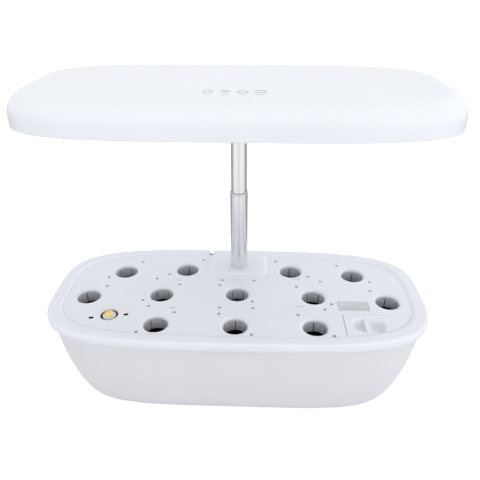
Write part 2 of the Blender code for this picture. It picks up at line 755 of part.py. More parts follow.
def pole_plate():
    """The raised plate round the pole, with round corners and a bevelled top edge."""
    middle = (0, (PLATE_FRONT_Y + PLATE_BACK_Y) / 2)
    half_y = (PLATE_BACK_Y - PLATE_FRONT_Y) / 2
    return loft("pole_plate", [
        rounded_loop(PLATE_HALF_WIDTH, half_y, PLATE_CORNER,
                     PANEL_TOP - PANEL_THICKNESS / 2, centre=middle),
        rounded_loop(PLATE_HALF_WIDTH, half_y, PLATE_CORNER, PLATE_TOP - PLATE_BEVEL,
                     centre=middle),
        rounded_loop(PLATE_HALF_WIDTH - PLATE_BEVEL, half_y - PLATE_BEVEL,
                     PLATE_CORNER - PLATE_BEVEL, PLATE_TOP, centre=middle)])


def build_deck(white):
    """The planting deck: shell, sockets, pole plate, port, float hole, notch and channel."""
    deck = piece("grow_deck", deck_shell(), white)
    join(deck, tool("socket_tube_shapes", socket_tubes()))
    join(deck, tool("pole_plate_shape", pole_plate()))
    ledge = prism("port_ledge", port_outline(GAP + LEDGE_WIDTH),
                  PANEL_TOP - DOOR_THICKNESS - GAP - LEDGE_THICKNESS,
                  PANEL_TOP - PANEL_THICKNESS / 2)
    join(deck, tool("port_ledge_shape", ledge))
    boss = turned("socket_boss", [(SOCKET_BOSS_RADIUS, PANEL_UNDER - SOCKET_BOSS_DROP),
                                  (SOCKET_BOSS_RADIUS, PANEL_TOP - PANEL_THICKNESS / 2)],
                  SMALL_COUNT)
    bosses = merged("socket_bosses", [(boss, place, 0)
                                      for place in boss_places(SOCKET_BOSS_CIRCLE)])
    join(deck, tool("socket_boss_shapes", bosses))
    cut(deck, tool("socket_bore_cutter", socket_bores()))
    cut(deck, tool("socket_slit_cutter", socket_slits()))
    recess = prism("port_recess", port_outline(GAP), PANEL_TOP - DOOR_THICKNESS - GAP,
                   PANEL_TOP + CUT_OVERRUN)
    cut(deck, tool("port_recess_cutter", recess))
    port = prism("fill_port", port_outline(-LEDGE_WIDTH), RIM_BOTTOM, PANEL_TOP)
    cut(deck, tool("fill_port_cutter", port))
    cut(deck, tool("deck_hole_cutter", deck_holes()))
    cut(deck, tool("cable_channel_cutter", cable_channel()))


def deck_holes():
    """Upright holes: float hole, hook slots, pole hole, screw pilots and cable notch."""
    low = RIM_BOTTOM - CUT_OVERRUN
    high = PLATE_TOP + CUT_OVERRUN
    float_hole = turned("float_hole", [(FLOAT_HOLE_RADIUS, low), (FLOAT_HOLE_RADIUS, high)])
    slot = block("hook_slot", HOOK_SLOT_HALF_X, HOOK_SLOT_HALF_Y, low, high)
    pole_radius = LOWER_TUBE_RADIUS + GAP
    pole_hole = turned("pole_hole", [(pole_radius, low), (pole_radius, high)])
    pilot = turned("pilot_hole", [(PILOT_RADIUS, low), (PILOT_RADIUS, PANEL_UNDER)], SMALL_COUNT)
    half = NOTCH_WIDTH / 2
    back = DECK_HALF_Y + CUT_OVERRUN
    centre_y = NOTCH_FRONT_Y + half
    outline = [(NOTCH_X + half, back), (NOTCH_X - half, back)]
    for step in range(NOTCH_STEPS + 1):
        angle = math.pi * (1 + step / NOTCH_STEPS)
        outline.append((NOTCH_X + half * math.cos(angle), centre_y + half * math.sin(angle)))
    notch = prism("cable_notch", outline, low, high)
    copies = [(float_hole, (FLOAT_X, FLOAT_Y, 0), 0), (pole_hole, (0, POLE_Y, 0), 0),
              (notch, (0, 0, 0), 0)]
    copies += [(slot, place, HOOK_LINE_ANGLE) for place in hook_places()]
    copies += [(pilot, place, 0) for place in boss_places(SOCKET_BOSS_CIRCLE)]
    return merged("deck_holes", copies)


def cable_channel():
    """The shallow channel that runs forward from the notch beside the pole plate."""
    half = NOTCH_WIDTH / 2
    start = NOTCH_FRONT_Y + half
    outline = [(NOTCH_X + half, start), (NOTCH_X - half, start),
               (CHANNEL_X - half, CHANNEL_FRONT_Y), (CHANNEL_X + half, CHANNEL_FRONT_Y)]
    return prism("cable_channel", outline, PANEL_TOP - CHANNEL_DEPTH, DECK_TOP + CUT_OVERRUN)


def build_float(white, yellow, black):
    """The hollow float with its stem, its yellow tip, and the cage that guides it."""
    place = (FLOAT_X, FLOAT_Y, PANEL_TOP)
    axis = empty("float_axis", place)
    cap_top = -FLOAT_CAP_DROP
    ceiling = -PANEL_THICKNESS - GAP - GUIDE_FLANGE
    shoulder = ceiling - FLOAT_TRAVEL - GAP
    foot = shoulder - FLOAT_BODY_HEIGHT
    inner_body = FLOAT_BODY_RADIUS - FLOAT_WALL
    inner_stem = FLOAT_STEM_RADIUS - FLOAT_WALL
    profile = [(inner_stem, cap_top - FLOAT_CAP_THICKNESS), (inner_stem, shoulder - FLOAT_WALL),
               (inner_body, shoulder - 2 * FLOAT_WALL), (inner_body, foot),
               (FLOAT_BODY_RADIUS - FLOAT_CHAMFER, foot),
               (FLOAT_BODY_RADIUS, foot + FLOAT_CHAMFER),
               (FLOAT_BODY_RADIUS, shoulder - FLOAT_CHAMFER),
               (FLOAT_BODY_RADIUS - FLOAT_CHAMFER, shoulder), (FLOAT_STEM_RADIUS, shoulder),
               (FLOAT_STEM_RADIUS, cap_top - FLOAT_CHAMFER),
               (FLOAT_STEM_RADIUS - FLOAT_CHAMFER, cap_top)]
    body = piece("water_float", turned("water_float", profile), white, place, axis)
    seat_radius = TIP_SPIGOT_RADIUS + GAP
    seat = turned("tip_seat", [(seat_radius, cap_top - TIP_SPIGOT_LENGTH - GAP),
                               (seat_radius, cap_top + CUT_OVERRUN)], SMALL_COUNT)
    cut(body, tool("tip_seat_cutter", seat, place))
    base = cap_top + GAP
    dome = [(TIP_SPIGOT_RADIUS, cap_top - TIP_SPIGOT_LENGTH), (TIP_SPIGOT_RADIUS, base)]
    for step in range(DOME_STEPS):
        angle = step / DOME_STEPS * math.pi / 2
        dome.append((TIP_RADIUS * math.cos(angle), base + TIP_HEIGHT * math.sin(angle)))
    piece("float_tip", turned("float_tip", dome, SMALL_COUNT), yellow, place, axis)
    build_float_guide(black, place, ceiling, foot)


def build_float_guide(black, place, ceiling, float_foot):
    """The cage below the deck that the float runs in, with windows and two hooks."""
    bore = FLOAT_BODY_RADIUS + GUIDE_CLEARANCE
    outer = bore + GUIDE_WALL
    floor = float_foot - GAP
    foot = floor - GUIDE_FLANGE
    top = ceiling + GUIDE_FLANGE
    flange = loft("float_guide", [rounded_loop(GUIDE_HALF_X, GUIDE_HALF_Y, GUIDE_CORNER, height)
                                  for height in (ceiling, top)])
    guide = piece("float_guide", flange, black, place)
    barrel = turned("guide_barrel", [(outer, foot), (outer, ceiling + GUIDE_FLANGE / 2)])
    join(guide, tool("guide_barrel_shape", barrel, place))
    throat = FLOAT_STEM_RADIUS + GUIDE_CLEARANCE
    hollow = turned("guide_hollow", [(GUIDE_STOP_RADIUS, foot - CUT_OVERRUN),
                                     (GUIDE_STOP_RADIUS, floor), (bore, floor),
                                     (bore, ceiling), (throat, ceiling),
                                     (throat, top + CUT_OVERRUN)])
    cut(guide, tool("guide_hollow_cutter", hollow, place))
    window = block("guide_window", outer - GUIDE_STOP_RADIUS, GUIDE_WINDOW_WIDTH / 2,
                   floor + GUIDE_WINDOW_MARGIN, ceiling - GUIDE_WINDOW_MARGIN)
    windows = merged("guide_windows", [
        (window, (outer * math.cos(angle), outer * math.sin(angle), 0), angle)
        for angle in (math.pi / 4 + math.pi / 2 * quarter for quarter in range(4))])
    cut(guide, tool("guide_window_cutter", windows, place))
    hook = block("guide_hook", HOOK_SLOT_HALF_X - GAP, HOOK_SLOT_HALF_Y - GAP,
                 ceiling + GUIDE_FLANGE / 2, -HOOK_DROP)
    hooks = merged("guide_hooks", [(hook, (x - FLOAT_X, y - FLOAT_Y, 0), HOOK_LINE_ANGLE)
                                   for x, y, _ in hook_places()])
    join(guide, tool("guide_hook_shapes", hooks, place))


def screw_mesh(name):
    """A pan-head screw that points up, its head below the seat at height zero."""
    head = -SCREW_HEAD_HEIGHT
    profile = [(SCREW_DRIVE_RADIUS, head + SCREW_DRIVE_DEPTH), (SCREW_DRIVE_RADIUS, head),
               (SCREW_HEAD_RADIUS - SCREW_RADIUS / 2, head), (SCREW_HEAD_RADIUS, head / 2),
               (SCREW_HEAD_RADIUS, 0), (SCREW_RADIUS, 0),
               (SCREW_RADIUS, SCREW_LENGTH - SCREW_RADIUS), (SCREW_RADIUS / 2, SCREW_LENGTH)]
    return turned(name, profile, SMALL_COUNT)


def screw_set(stem, places, seat, steel, parent=None):
    """Numbered screws, each turned up into its place from below a seat."""
    for number, (x, y, _) in enumerate(places, start=1):
        name = f"{stem}_{number}"
        piece(name, screw_mesh(name), steel, (x, y, seat - GAP), parent)


def build_pole(white, steel):
    """Socket, lower tube, upper tube and glide plug."""
    place = (0, POLE_Y, 0)
    bore = LOWER_TUBE_RADIUS + GAP
    outer = bore + SOCKET_TUBE_WALL
    under = SOCKET_TOP - SOCKET_FLANGE_THICKNESS
    seat = SOCKET_FOOT + SOCKET_END_WALL
    profile = [(SOCKET_DRAIN_RADIUS, SOCKET_FOOT), (outer, SOCKET_FOOT), (outer, under),
               (SOCKET_FLANGE_RADIUS, under), (SOCKET_FLANGE_RADIUS, SOCKET_TOP),
               (bore, SOCKET_TOP), (bore, seat), (SOCKET_DRAIN_RADIUS, seat)]
    socket = piece("pole_socket", turned("pole_socket", profile, ring=True), white, place)
    hole = turned("flange_hole", [(PILOT_RADIUS, under - CUT_OVERRUN),
                                  (PILOT_RADIUS, SOCKET_TOP + CUT_OVERRUN)], SMALL_COUNT)
    holes = merged("flange_holes", [(hole, spot, 0) for spot in boss_places(SOCKET_BOSS_CIRCLE)])
    cut(socket, tool("flange_hole_cutter", holes))
    screw_set("socket_screw", boss_places(SOCKET_BOSS_CIRCLE), under, steel)
    inner = LOWER_TUBE_RADIUS - LOWER_TUBE_WALL
    rim = TUBE_JOINT - ROLLED_RIM_HEIGHT
    rim_radius = LOWER_TUBE_RADIUS + ROLLED_RIM_GROWTH
    lower = [(inner, seat + GAP), (LOWER_TUBE_RADIUS, seat + GAP), (LOWER_TUBE_RADIUS, rim),
             (rim_radius, rim + ROLLED_RIM_GROWTH), (rim_radius, TUBE_JOINT - TUBE_CHAMFER),
             (rim_radius - TUBE_CHAMFER, TUBE_JOINT), (inner, TUBE_JOINT)]
    piece("lower_tube", turned("lower_tube", lower, ring=True), steel, place)
    place = (0, POLE_Y, TUBE_JOINT)
    axis = empty("pole_axis", place)
    bore = UPPER_TUBE_RADIUS - UPPER_TUBE_WALL
    bottom = -TUBE_OVERLAP
    top = UPPER_TUBE_TOP - TUBE_JOINT
    upper = [(bore, bottom), (UPPER_TUBE_RADIUS, bottom), (UPPER_TUBE_RADIUS, top),
             (bore, top)]
    piece("upper_tube", turned("upper_tube", upper, ring=True), steel, place, axis)
    glide = inner - GLIDE_CLEARANCE
    foot = bottom - GAP - GLIDE_FOOT_LENGTH
    plug = [(GLIDE_BORE_RADIUS, foot), (glide - TUBE_CHAMFER, foot),
            (glide, foot + TUBE_CHAMFER), (glide, bottom - GAP), (bore - GAP, bottom - GAP),
            (bore - GAP, bottom + GLIDE_STEM_LENGTH),
            (GLIDE_BORE_RADIUS, bottom + GLIDE_STEM_LENGTH)]
    piece("glide_plug", turned("glide_plug", plug, ring=True), white, place, axis)


def hood_loop(inset, height, count=OUTLINE_COUNT):
    """The hood's outline, inset from its widest."""
    return superellipse_loop(HOOD_HALF_X - inset, HOOD_HALF_Y - inset, HOOD_POWER, height, count,
                             (0, HOOD_Y))


def hood_shell_loops():
    """The hood's upper shell from the middle of its top, over the edge and back inside."""
    loops = []
    flat_x = HOOD_HALF_X - HOOD_EDGE
    flat_y = HOOD_HALF_Y - HOOD_EDGE
    for share in DOME_SHARES:
        loops.append(superellipse_loop(flat_x * share, flat_y * share, HOOD_POWER,
                                       HOOD_TOP - HOOD_DOME * share * share,
                                       centre=(0, HOOD_Y)))
    edge_top = HOOD_TOP - HOOD_DOME
    for step in range(EDGE_STEPS + 1):
        angle = step / EDGE_STEPS * math.pi / 2
        loops.append(hood_loop(HOOD_EDGE * (1 - math.sin(angle)),
                               edge_top - HOOD_EDGE * (1 - math.cos(angle))))
    loops.append(hood_loop(0, HOOD_BOTTOM + HOOD_LIP_CHAMFER))
    loops.append(hood_loop(HOOD_LIP_CHAMFER, HOOD_BOTTOM))
    loops.append(hood_loop(HOOD_WALL, HOOD_BOTTOM))
    inner_edge = HOOD_EDGE - HOOD_WALL
    for step in range(INNER_EDGE_STEPS + 1):
        angle = (1 - step / INNER_EDGE_STEPS) * math.pi / 2
        loops.append(hood_loop(HOOD_WALL + inner_edge * (1 - math.sin(angle)),
                               HOOD_CEILING - inner_edge * (1 - math.cos(angle))))
    return loops


def hood_boss_places():
    """Where the hood's six screws stand."""
    corners = [(side_x * HOOD_BOSS_X, HOOD_Y + side_y * HOOD_BOSS_Y, 0)
               for side_x in (-1, 1) for side_y in (-1, 1)]
    middles = [(0, HOOD_Y + side * HOOD_MIDDLE_BOSS_Y, 0) for side in (-1, 1)]
    return corners + middles


def build_hood_top(white, axis):
    """The upper shell with its screw bosses, touch board posts and rear socket holes."""
    top = piece("hood_top", loft("hood_top", hood_shell_loops()), white, parent=axis)
    top.location = -axis.location
    inside = HOOD_CEILING + HOOD_WALL / 2
    boss = turned("hood_boss", [(HOOD_BOSS_RADIUS, BASE_TOP + GAP), (HOOD_BOSS_RADIUS, inside)],
                  SMALL_COUNT)
    pin_foot = CONTROL_TOP - BOARD_THICKNESS - POST_PIN_REACH
    post = turned("touch_post", [(POST_PIN_RADIUS, pin_foot),
                                 (POST_PIN_RADIUS, CONTROL_TOP + GAP),
                                 (POST_RADIUS, CONTROL_TOP + GAP), (POST_RADIUS, inside)],
                  SMALL_COUNT)
    copies = [(boss, place, 0) for place in hood_boss_places()]
    copies += [(post, place, 0) for place in post_places()]
    join(top, tool("hood_boss_shapes", merged("hood_bosses", copies)))
    pilot = turned("hood_pilot", [(PILOT_RADIUS, BASE_TOP),
                                  (PILOT_RADIUS, BASE_TOP + SCREW_LENGTH)], SMALL_COUNT)
    pilots = merged("hood_pilots", [(pilot, place, 0) for place in hood_boss_places()])
    cut(top, tool("hood_pilot_cutter", pilots))
    hole = lie_down(turned("jack_hole", [(JACK_RADIUS + GAP, -HOOD_WALL - CUT_OVERRUN),
                                         (JACK_RADIUS + GAP, CUT_OVERRUN)]))
    holes = merged("jack_holes", [(hole, (side * JACK_X, HOOD_BACK_Y, JACK_Z), 0)
                                  for side in (-1, 1)])
    cut(top, tool("jack_hole_cutter", holes))


def standoff_places():
    """Where the driver board's four pins stand."""
    reach_x = DRIVER_HALF_X - STANDOFF_MARGIN
    reach_y = DRIVER_HALF_Y - STANDOFF_MARGIN
    return [(DRIVER_X + side_x * reach_x, DRIVER_Y + side_y * reach_y, 0)
            for side_x in (-1, 1) for side_y in (-1, 1)]


def window_loop(growth, height):
    """The outline of the light window in the hood's base, grown outwards."""
    return rounded_loop(WINDOW_HALF_X + growth, WINDOW_HALF_Y + growth, WINDOW_CORNER + growth,
                        height, centre=(0, LIGHT_Y))


def build_hood_base(white, axis):
    """The hood's underside, with a window, a frame for the light and pins for the driver."""
    inset = HOOD_WALL + GAP
    plate = loft("hood_base", [hood_loop(inset, BASE_BOTTOM), hood_loop(inset, BASE_TOP)])
    base = piece("hood_base", plate, white, parent=axis)
    base.location = -axis.location
    inner = DIFFUSER_BORDER + GAP
    outer = inner + FRAME_WALL
    rooted = BASE_TOP - BASE_THICKNESS / 2
    frame_top = BASE_TOP + FRAME_HEIGHT
    frame = loft("light_frame", [window_loop(inner, rooted), window_loop(outer, rooted),
                                 window_loop(outer, frame_top), window_loop(inner, frame_top)],
                 ring=True)
    join(base, tool("light_frame_shape", frame))
    board_foot = BASE_TOP + STANDOFF_HEIGHT
    standoff = turned("standoff", [(STANDOFF_RADIUS, rooted), (STANDOFF_RADIUS, board_foot),
                                   (POST_PIN_RADIUS, board_foot),
                                   (POST_PIN_RADIUS, board_foot + BOARD_THICKNESS
                                    + POST_PIN_REACH)], SMALL_COUNT)
    standoffs = merged("standoffs", [(standoff, place, 0) for place in standoff_places()])
    join(base, tool("standoff_shapes", standoffs))
    low = BASE_BOTTOM - CUT_OVERRUN
    high = BASE_TOP + CUT_OVERRUN
    window = loft("light_window", [window_loop(0, low), window_loop(0, high)])
    pole_radius = UPPER_TUBE_RADIUS + GAP
    pole_hole = turned("base_hole", [(pole_radius, low), (pole_radius, high)])
    hole = turned("base_screw_hole", [(PILOT_RADIUS, low), (PILOT_RADIUS, high)], SMALL_COUNT)
    copies = [(window, (0, 0, 0), 0), (pole_hole, (0, POLE_Y, 0), 0)]
    copies += [(hole, place, 0) for place in hood_boss_places()]
    copies += [(hole, place, 0) for place in boss_places(BRACKET_SCREW_CIRCLE)]
    cut(base, tool("base_hole_cutter", merged("base_holes", copies)))


def build_light(aluminium, clear, axis):
    """The diffuser over the window and the aluminium light board on the frame."""
    border = DIFFUSER_BORDER
    low = BASE_TOP + GAP
    diffuser = loft("light_diffuser", [window_loop(border, low),
                                       window_loop(border, low + DIFFUSER_THICKNESS)])
    piece("light_diffuser", diffuser, clear, parent=axis).location = -axis.location
    border = DIFFUSER_BORDER + GAP + FRAME_WALL
    low = BASE_TOP + FRAME_HEIGHT + GAP
    board = loft("led_board", [window_loop(border, low), window_loop(border, low + BOARD_THICKNESS)])
    piece("led_board", board, aluminium, parent=axis).location = -axis.location


def board_holes(name, places, low):
    """Holes through a circuit board for the pins that hold it."""
    radius = POST_PIN_RADIUS + GAP
    hole = turned(name, [(radius, low - CUT_OVERRUN),
                         (radius, low + BOARD_THICKNESS + CUT_OVERRUN)], SMALL_COUNT)
    return merged(f"{name}s", [(hole, place, 0) for place in places])


def build_driver_board(green, axis):
    """The light's driver: a board with a coil and two capacitors."""
    low = BASE_TOP + STANDOFF_HEIGHT + GAP
    high = low + BOARD_THICKNESS
    middle = (DRIVER_X, DRIVER_Y)
    plate = loft("driver_board", [rounded_loop(DRIVER_HALF_X, DRIVER_HALF_Y, BOARD_CORNER, height,
                                               centre=middle) for height in (low, high)])
    board = piece("driver_board", plate, green, parent=axis)
    board.location = -axis.location
    rooted = high - BOARD_THICKNESS / 2
    coil = block("coil", COIL_HALF, COIL_HALF, rooted, high + COIL_HEIGHT)
    can = turned("capacitor", [(CAPACITOR_RADIUS, rooted),
                               (CAPACITOR_RADIUS, high + CAPACITOR_HEIGHT)], SMALL_COUNT)
    spread = CAPACITOR_RADIUS + PART_MARGIN + COIL_HALF
    copies = [(coil, (DRIVER_X, DRIVER_Y, 0), 0)]
    copies += [(can, (DRIVER_X + side * spread, DRIVER_Y, 0), 0) for side in (-1, 1)]
    join(board, tool("driver_part_shapes", merged("driver_parts", copies)))
    cut(board, tool("driver_hole_cutter", board_holes("driver_hole", standoff_places(), low)))


def touch_places():
    """Where the touch springs press on the hood's ceiling."""
    first = -TOUCH_PITCH * (TOUCH_COUNT - 1) / 2
    return [(first + index * TOUCH_PITCH, TOUCH_Y, 0) for index in range(TOUCH_COUNT)]


def post_places():
    """Where the two posts hold the touch board."""
    return [(-POST_X, TOUCH_Y, 0), (POST_X, TOUCH_Y, 0)]


def spring_mesh(name):
    """A small coil spring that stands on height zero."""
    count = SPRING_TURNS * SPRING_STEPS
    rows = []
    shape = bmesh.new()
    for step in range(count + 1):
        angle = step / SPRING_STEPS * 2 * math.pi
        middle_z = SPRING_WIRE + step / count * (TOUCH_HEIGHT - 2 * SPRING_WIRE)
        row = []
        for side in range(SPRING_SIDES):
            around = side / SPRING_SIDES * 2 * math.pi
            radius = TOUCH_RADIUS + SPRING_WIRE * math.cos(around)
            row.append(shape.verts.new((radius * math.cos(angle), radius * math.sin(angle),
                                        middle_z + SPRING_WIRE * math.sin(around))))
        rows.append(row)
    for lower, upper in zip(rows[:-1], rows[1:]):
        for side in range(SPRING_SIDES):
            after = (side + 1) % SPRING_SIDES
            shape.faces.new((lower[side], lower[after], upper[after], upper[side]))
    shape.faces.new(list(reversed(rows[0])))
    shape.faces.new(rows[-1])
    bmesh.ops.recalc_face_normals(shape, faces=shape.faces)
    mesh = bpy.data.meshes.new(name)
    shape.to_mesh(mesh)
    shape.free()
    return mesh


def build_touch_board(green, steel, axis):
    """The board under the hood's ceiling and the four springs that sense a finger."""
    low = CONTROL_TOP - BOARD_THICKNESS
    middle = (0, TOUCH_Y)
    plate = loft("touch_board", [rounded_loop(CONTROL_HALF_X, CONTROL_HALF_Y, BOARD_CORNER, height,
                                              centre=middle) for height in (low, CONTROL_TOP)])
    board = piece("touch_board", plate, green, parent=axis)
    board.location = -axis.location
    cut(board, tool("touch_hole_cutter", board_holes("touch_hole", post_places(), low)))
    for number, (x, y, _) in enumerate(touch_places(), start=1):
        name = f"touch_spring_{number}"
        piece(name, spring_mesh(name), steel, (x, y, CONTROL_TOP + GAP), axis)


def build_bracket(white, axis):
    """The cap in the hood that sits on the top of the upper tube."""
    bore = UPPER_TUBE_RADIUS + GAP
    outer = bore + BRACKET_WALL
    shoulder = BRACKET_BOTTOM + BRACKET_FLANGE_THICKNESS
    top = BRACKET_BORE_TOP + BRACKET_CEILING
    profile = [(bore, BRACKET_BORE_TOP), (bore, BRACKET_BOTTOM),
               (BRACKET_FLANGE_RADIUS, BRACKET_BOTTOM), (BRACKET_FLANGE_RADIUS, shoulder),
               (outer, shoulder), (outer, top)]
    place = (0, POLE_Y, 0)
    bracket = piece("pole_bracket", turned("pole_bracket", profile), white, place, axis)
    pilot = turned("bracket_pilot", [(PILOT_RADIUS, BRACKET_BOTTOM - CUT_OVERRUN),
                                     (PILOT_RADIUS, shoulder + CUT_OVERRUN)], SMALL_COUNT)
    pilots = merged("bracket_pilots", [(pilot, spot, 0)
                                       for spot in boss_places(BRACKET_SCREW_CIRCLE)])
    cut(bracket, tool("bracket_pilot_cutter", pilots))


def build_jack(name, side, black, axis):
    """A round supply socket: a body on the hood's base, its mouth through the rear wall."""
    inner_face = HOOD_BACK_Y - HOOD_WALL - JACK_SETBACK
    mouth = HOOD_BACK_Y - JACK_SHY
    half_height = JACK_BODY_HEIGHT / 2
    shell = block(name, JACK_HALF_WIDTH, JACK_BODY_LENGTH / 2, -half_height, half_height)
    place = (side * JACK_X, inner_face - JACK_BODY_LENGTH / 2, JACK_Z)
    jack = piece(name, shell, black, place, axis)
    barrel = lie_down(turned(f"{name}_barrel", [(JACK_RADIUS, -JACK_BODY_LENGTH / 2),
                                                (JACK_RADIUS, mouth - inner_face)]))
    join(jack, tool(f"{name}_barrel_shape", barrel, (side * JACK_X, inner_face, JACK_Z)))
    profile = [(JACK_PIN_RADIUS, -JACK_BORE_DEPTH), (JACK_BORE_RADIUS, -JACK_BORE_DEPTH),
               (JACK_BORE_RADIUS, CUT_OVERRUN), (JACK_PIN_RADIUS, CUT_OVERRUN)]
    bore = lie_down(turned(f"{name}_bore", profile, SMALL_COUNT, ring=True))
    cut(jack, tool(f"{name}_bore_cutter", bore, (side * JACK_X, mouth, JACK_Z)))


def pump_box(name, inset, low, high):
    """A round-cornered block on the pump's axis, between two distances from its front."""
    half_x = PUMP_HALF_WIDTH - inset
    half_y = PUMP_HEIGHT / 2 - inset
    corner = max(PUMP_CORNER - inset, PUMP_CORNER / 3)
    return loft(name, [rounded_loop(half_x, half_y, corner, height, PUMP_CORNER_STEPS)
                       for height in (low, high)])


def cup_places():
    """Where the pump's four suction cups stand, from the pump's axis."""
    near = CUP_MARGIN
    far = PUMP_LENGTH - CUP_MARGIN
    across = PUMP_HALF_WIDTH - CUP_MARGIN
    return [(side * across, along) for side in (-1, 1) for along in (near, far)]


def build_pump_housing(black, place):
    """The pump's body: impeller chamber, rotor well, stator pocket, outlet and cup seats."""
    housing = piece("pump_housing", lie_down(pump_box("pump_housing", 0, 0, PUMP_LENGTH)),
                    black, place)
    hollow = lie_down(turned("pump_hollow", [(CHAMBER_RADIUS, -CUT_OVERRUN),
                                             (CHAMBER_RADIUS, CHAMBER_DEPTH),
                                             (WELL_RADIUS, CHAMBER_DEPTH),
                                             (WELL_RADIUS, WELL_DEPTH),
                                             (SHAFT_RADIUS + GAP, WELL_DEPTH),
                                             (SHAFT_RADIUS + GAP, WELL_DEPTH + SHAFT_SEAT)]))
    cut(housing, tool("pump_hollow_cutter", hollow, place))
    pocket = lie_down(block("stator_pocket", STATOR_HALF_WIDTH, STATOR_HALF_HEIGHT,
                            PUMP_LENGTH - STATOR_DEPTH, PUMP_LENGTH + CUT_OVERRUN))
    cut(housing, tool("stator_pocket_cutter", pocket, place))
    top = PUMP_HEIGHT / 2
    port = turned("outlet_port", [(OUTLET_BORE_RADIUS, 0), (OUTLET_BORE_RADIUS, top - OUTLET_SEAT),
                                  (OUTLET_RADIUS, top - OUTLET_SEAT),
                                  (OUTLET_RADIUS, top + CUT_OVERRUN)], SMALL_COUNT)
    port_place = (place[0], place[1] + OUTLET_SETBACK, place[2])
    cut(housing, tool("outlet_port_cutter", port, port_place))
    radius = CUP_STEM_RADIUS + GAP
    seat = turned("cup_seat", [(radius, -top - CUT_OVERRUN), (radius, CUP_STEM_LENGTH + GAP - top)],
                  SMALL_COUNT)
    seats = merged("cup_seats", [(seat, (x, y, 0), 0) for x, y in cup_places()])
    cut(housing, tool("cup_seat_cutter", seats, place))


def build_impeller(white, place):
    """The rotor with its hub and blades, on its own spinning axis."""
    axis = empty("impeller_axis", place)
    bore = SHAFT_RADIUS + GAP
    blade_back = CHAMBER_DEPTH - ROTOR_SHY
    profile = [(bore, ROTOR_SHY), (HUB_RADIUS, ROTOR_SHY), (HUB_RADIUS, blade_back),
               (ROTOR_RADIUS, blade_back), (ROTOR_RADIUS, WELL_DEPTH - ROTOR_SHY),
               (bore, WELL_DEPTH - ROTOR_SHY)]
    impeller = piece("impeller", lie_down(turned("impeller", profile, ring=True)), white,
                     place, axis)
    middle = (HUB_RADIUS + BLADE_RADIUS) / 2 - GAP
    half = BLADE_RADIUS - middle
    blade = block("blade", half, BLADE_THICKNESS / 2, ROTOR_SHY + GAP, blade_back - GAP)
    blades = []
    for index in range(BLADE_COUNT):
        angle = index * 2 * math.pi / BLADE_COUNT
        blades.append((blade, (middle * math.cos(angle), middle * math.sin(angle), 0), angle))
    join(impeller, tool("blade_shapes", lie_down(merged("blades", blades)), place))


def build_pump_front(black, grey, place):
    """The intake plate, the sponge filter in front of it and the slotted cover."""
    back = -GAP
    front = back - COVER_THICKNESS
    plate = piece("pump_front", lie_down(pump_box("pump_front", 0, front, back)), black, place)
    hole = turned("intake_hole", [(INTAKE_HOLE_RADIUS, front - CUT_OVERRUN),
                                  (INTAKE_HOLE_RADIUS, back + CUT_OVERRUN)], SMALL_COUNT)
    holes = []
    for index in range(INTAKE_HOLE_COUNT):
        angle = index * 2 * math.pi / INTAKE_HOLE_COUNT
        x = INTAKE_HOLE_CIRCLE * math.cos(angle)
        y = INTAKE_HOLE_CIRCLE * math.sin(angle)
        holes.append((hole, (x, y, 0), 0))
    seat = turned("front_seat", [(SHAFT_RADIUS + GAP, back - SHAFT_SEAT),
                                 (SHAFT_RADIUS + GAP, back + CUT_OVERRUN)], SMALL_COUNT)
    holes.append((seat, (0, 0, 0), 0))
    cut(plate, tool("intake_hole_cutter", lie_down(merged("intake_holes", holes)), place))
    cover_back = front - GAP
    cover_front = cover_back - COVER_RIM_DEPTH
    cover = piece("pump_cover", lie_down(pump_box("pump_cover", 0, cover_front, cover_back)),
                  black, place)
    grille_back = cover_front + GRILLE_THICKNESS
    hollow = lie_down(pump_box("cover_hollow", COVER_WALL, grille_back, cover_back + CUT_OVERRUN))
    cut(cover, tool("cover_hollow_cutter", hollow, place))
    slot = block("grille_slot", GRILLE_SLOT_WIDTH / 2, PUMP_HEIGHT / 2 - GRILLE_SLOT_MARGIN,
                 cover_front - CUT_OVERRUN, grille_back + CUT_OVERRUN / 2)
    pitch = 2 * GRILLE_SLOT_WIDTH
    first = -pitch * (GRILLE_SLOT_COUNT - 1) / 2
    slots = [(slot, (first + index * pitch, 0, 0), 0) for index in range(GRILLE_SLOT_COUNT)]
    cut(cover, tool("grille_slot_cutter", lie_down(merged("grille_slots", slots)), place))
    sponge = lie_down(pump_box("pump_filter", COVER_WALL + GAP, grille_back + GAP, cover_back))
    piece("pump_filter", sponge, grey, place)


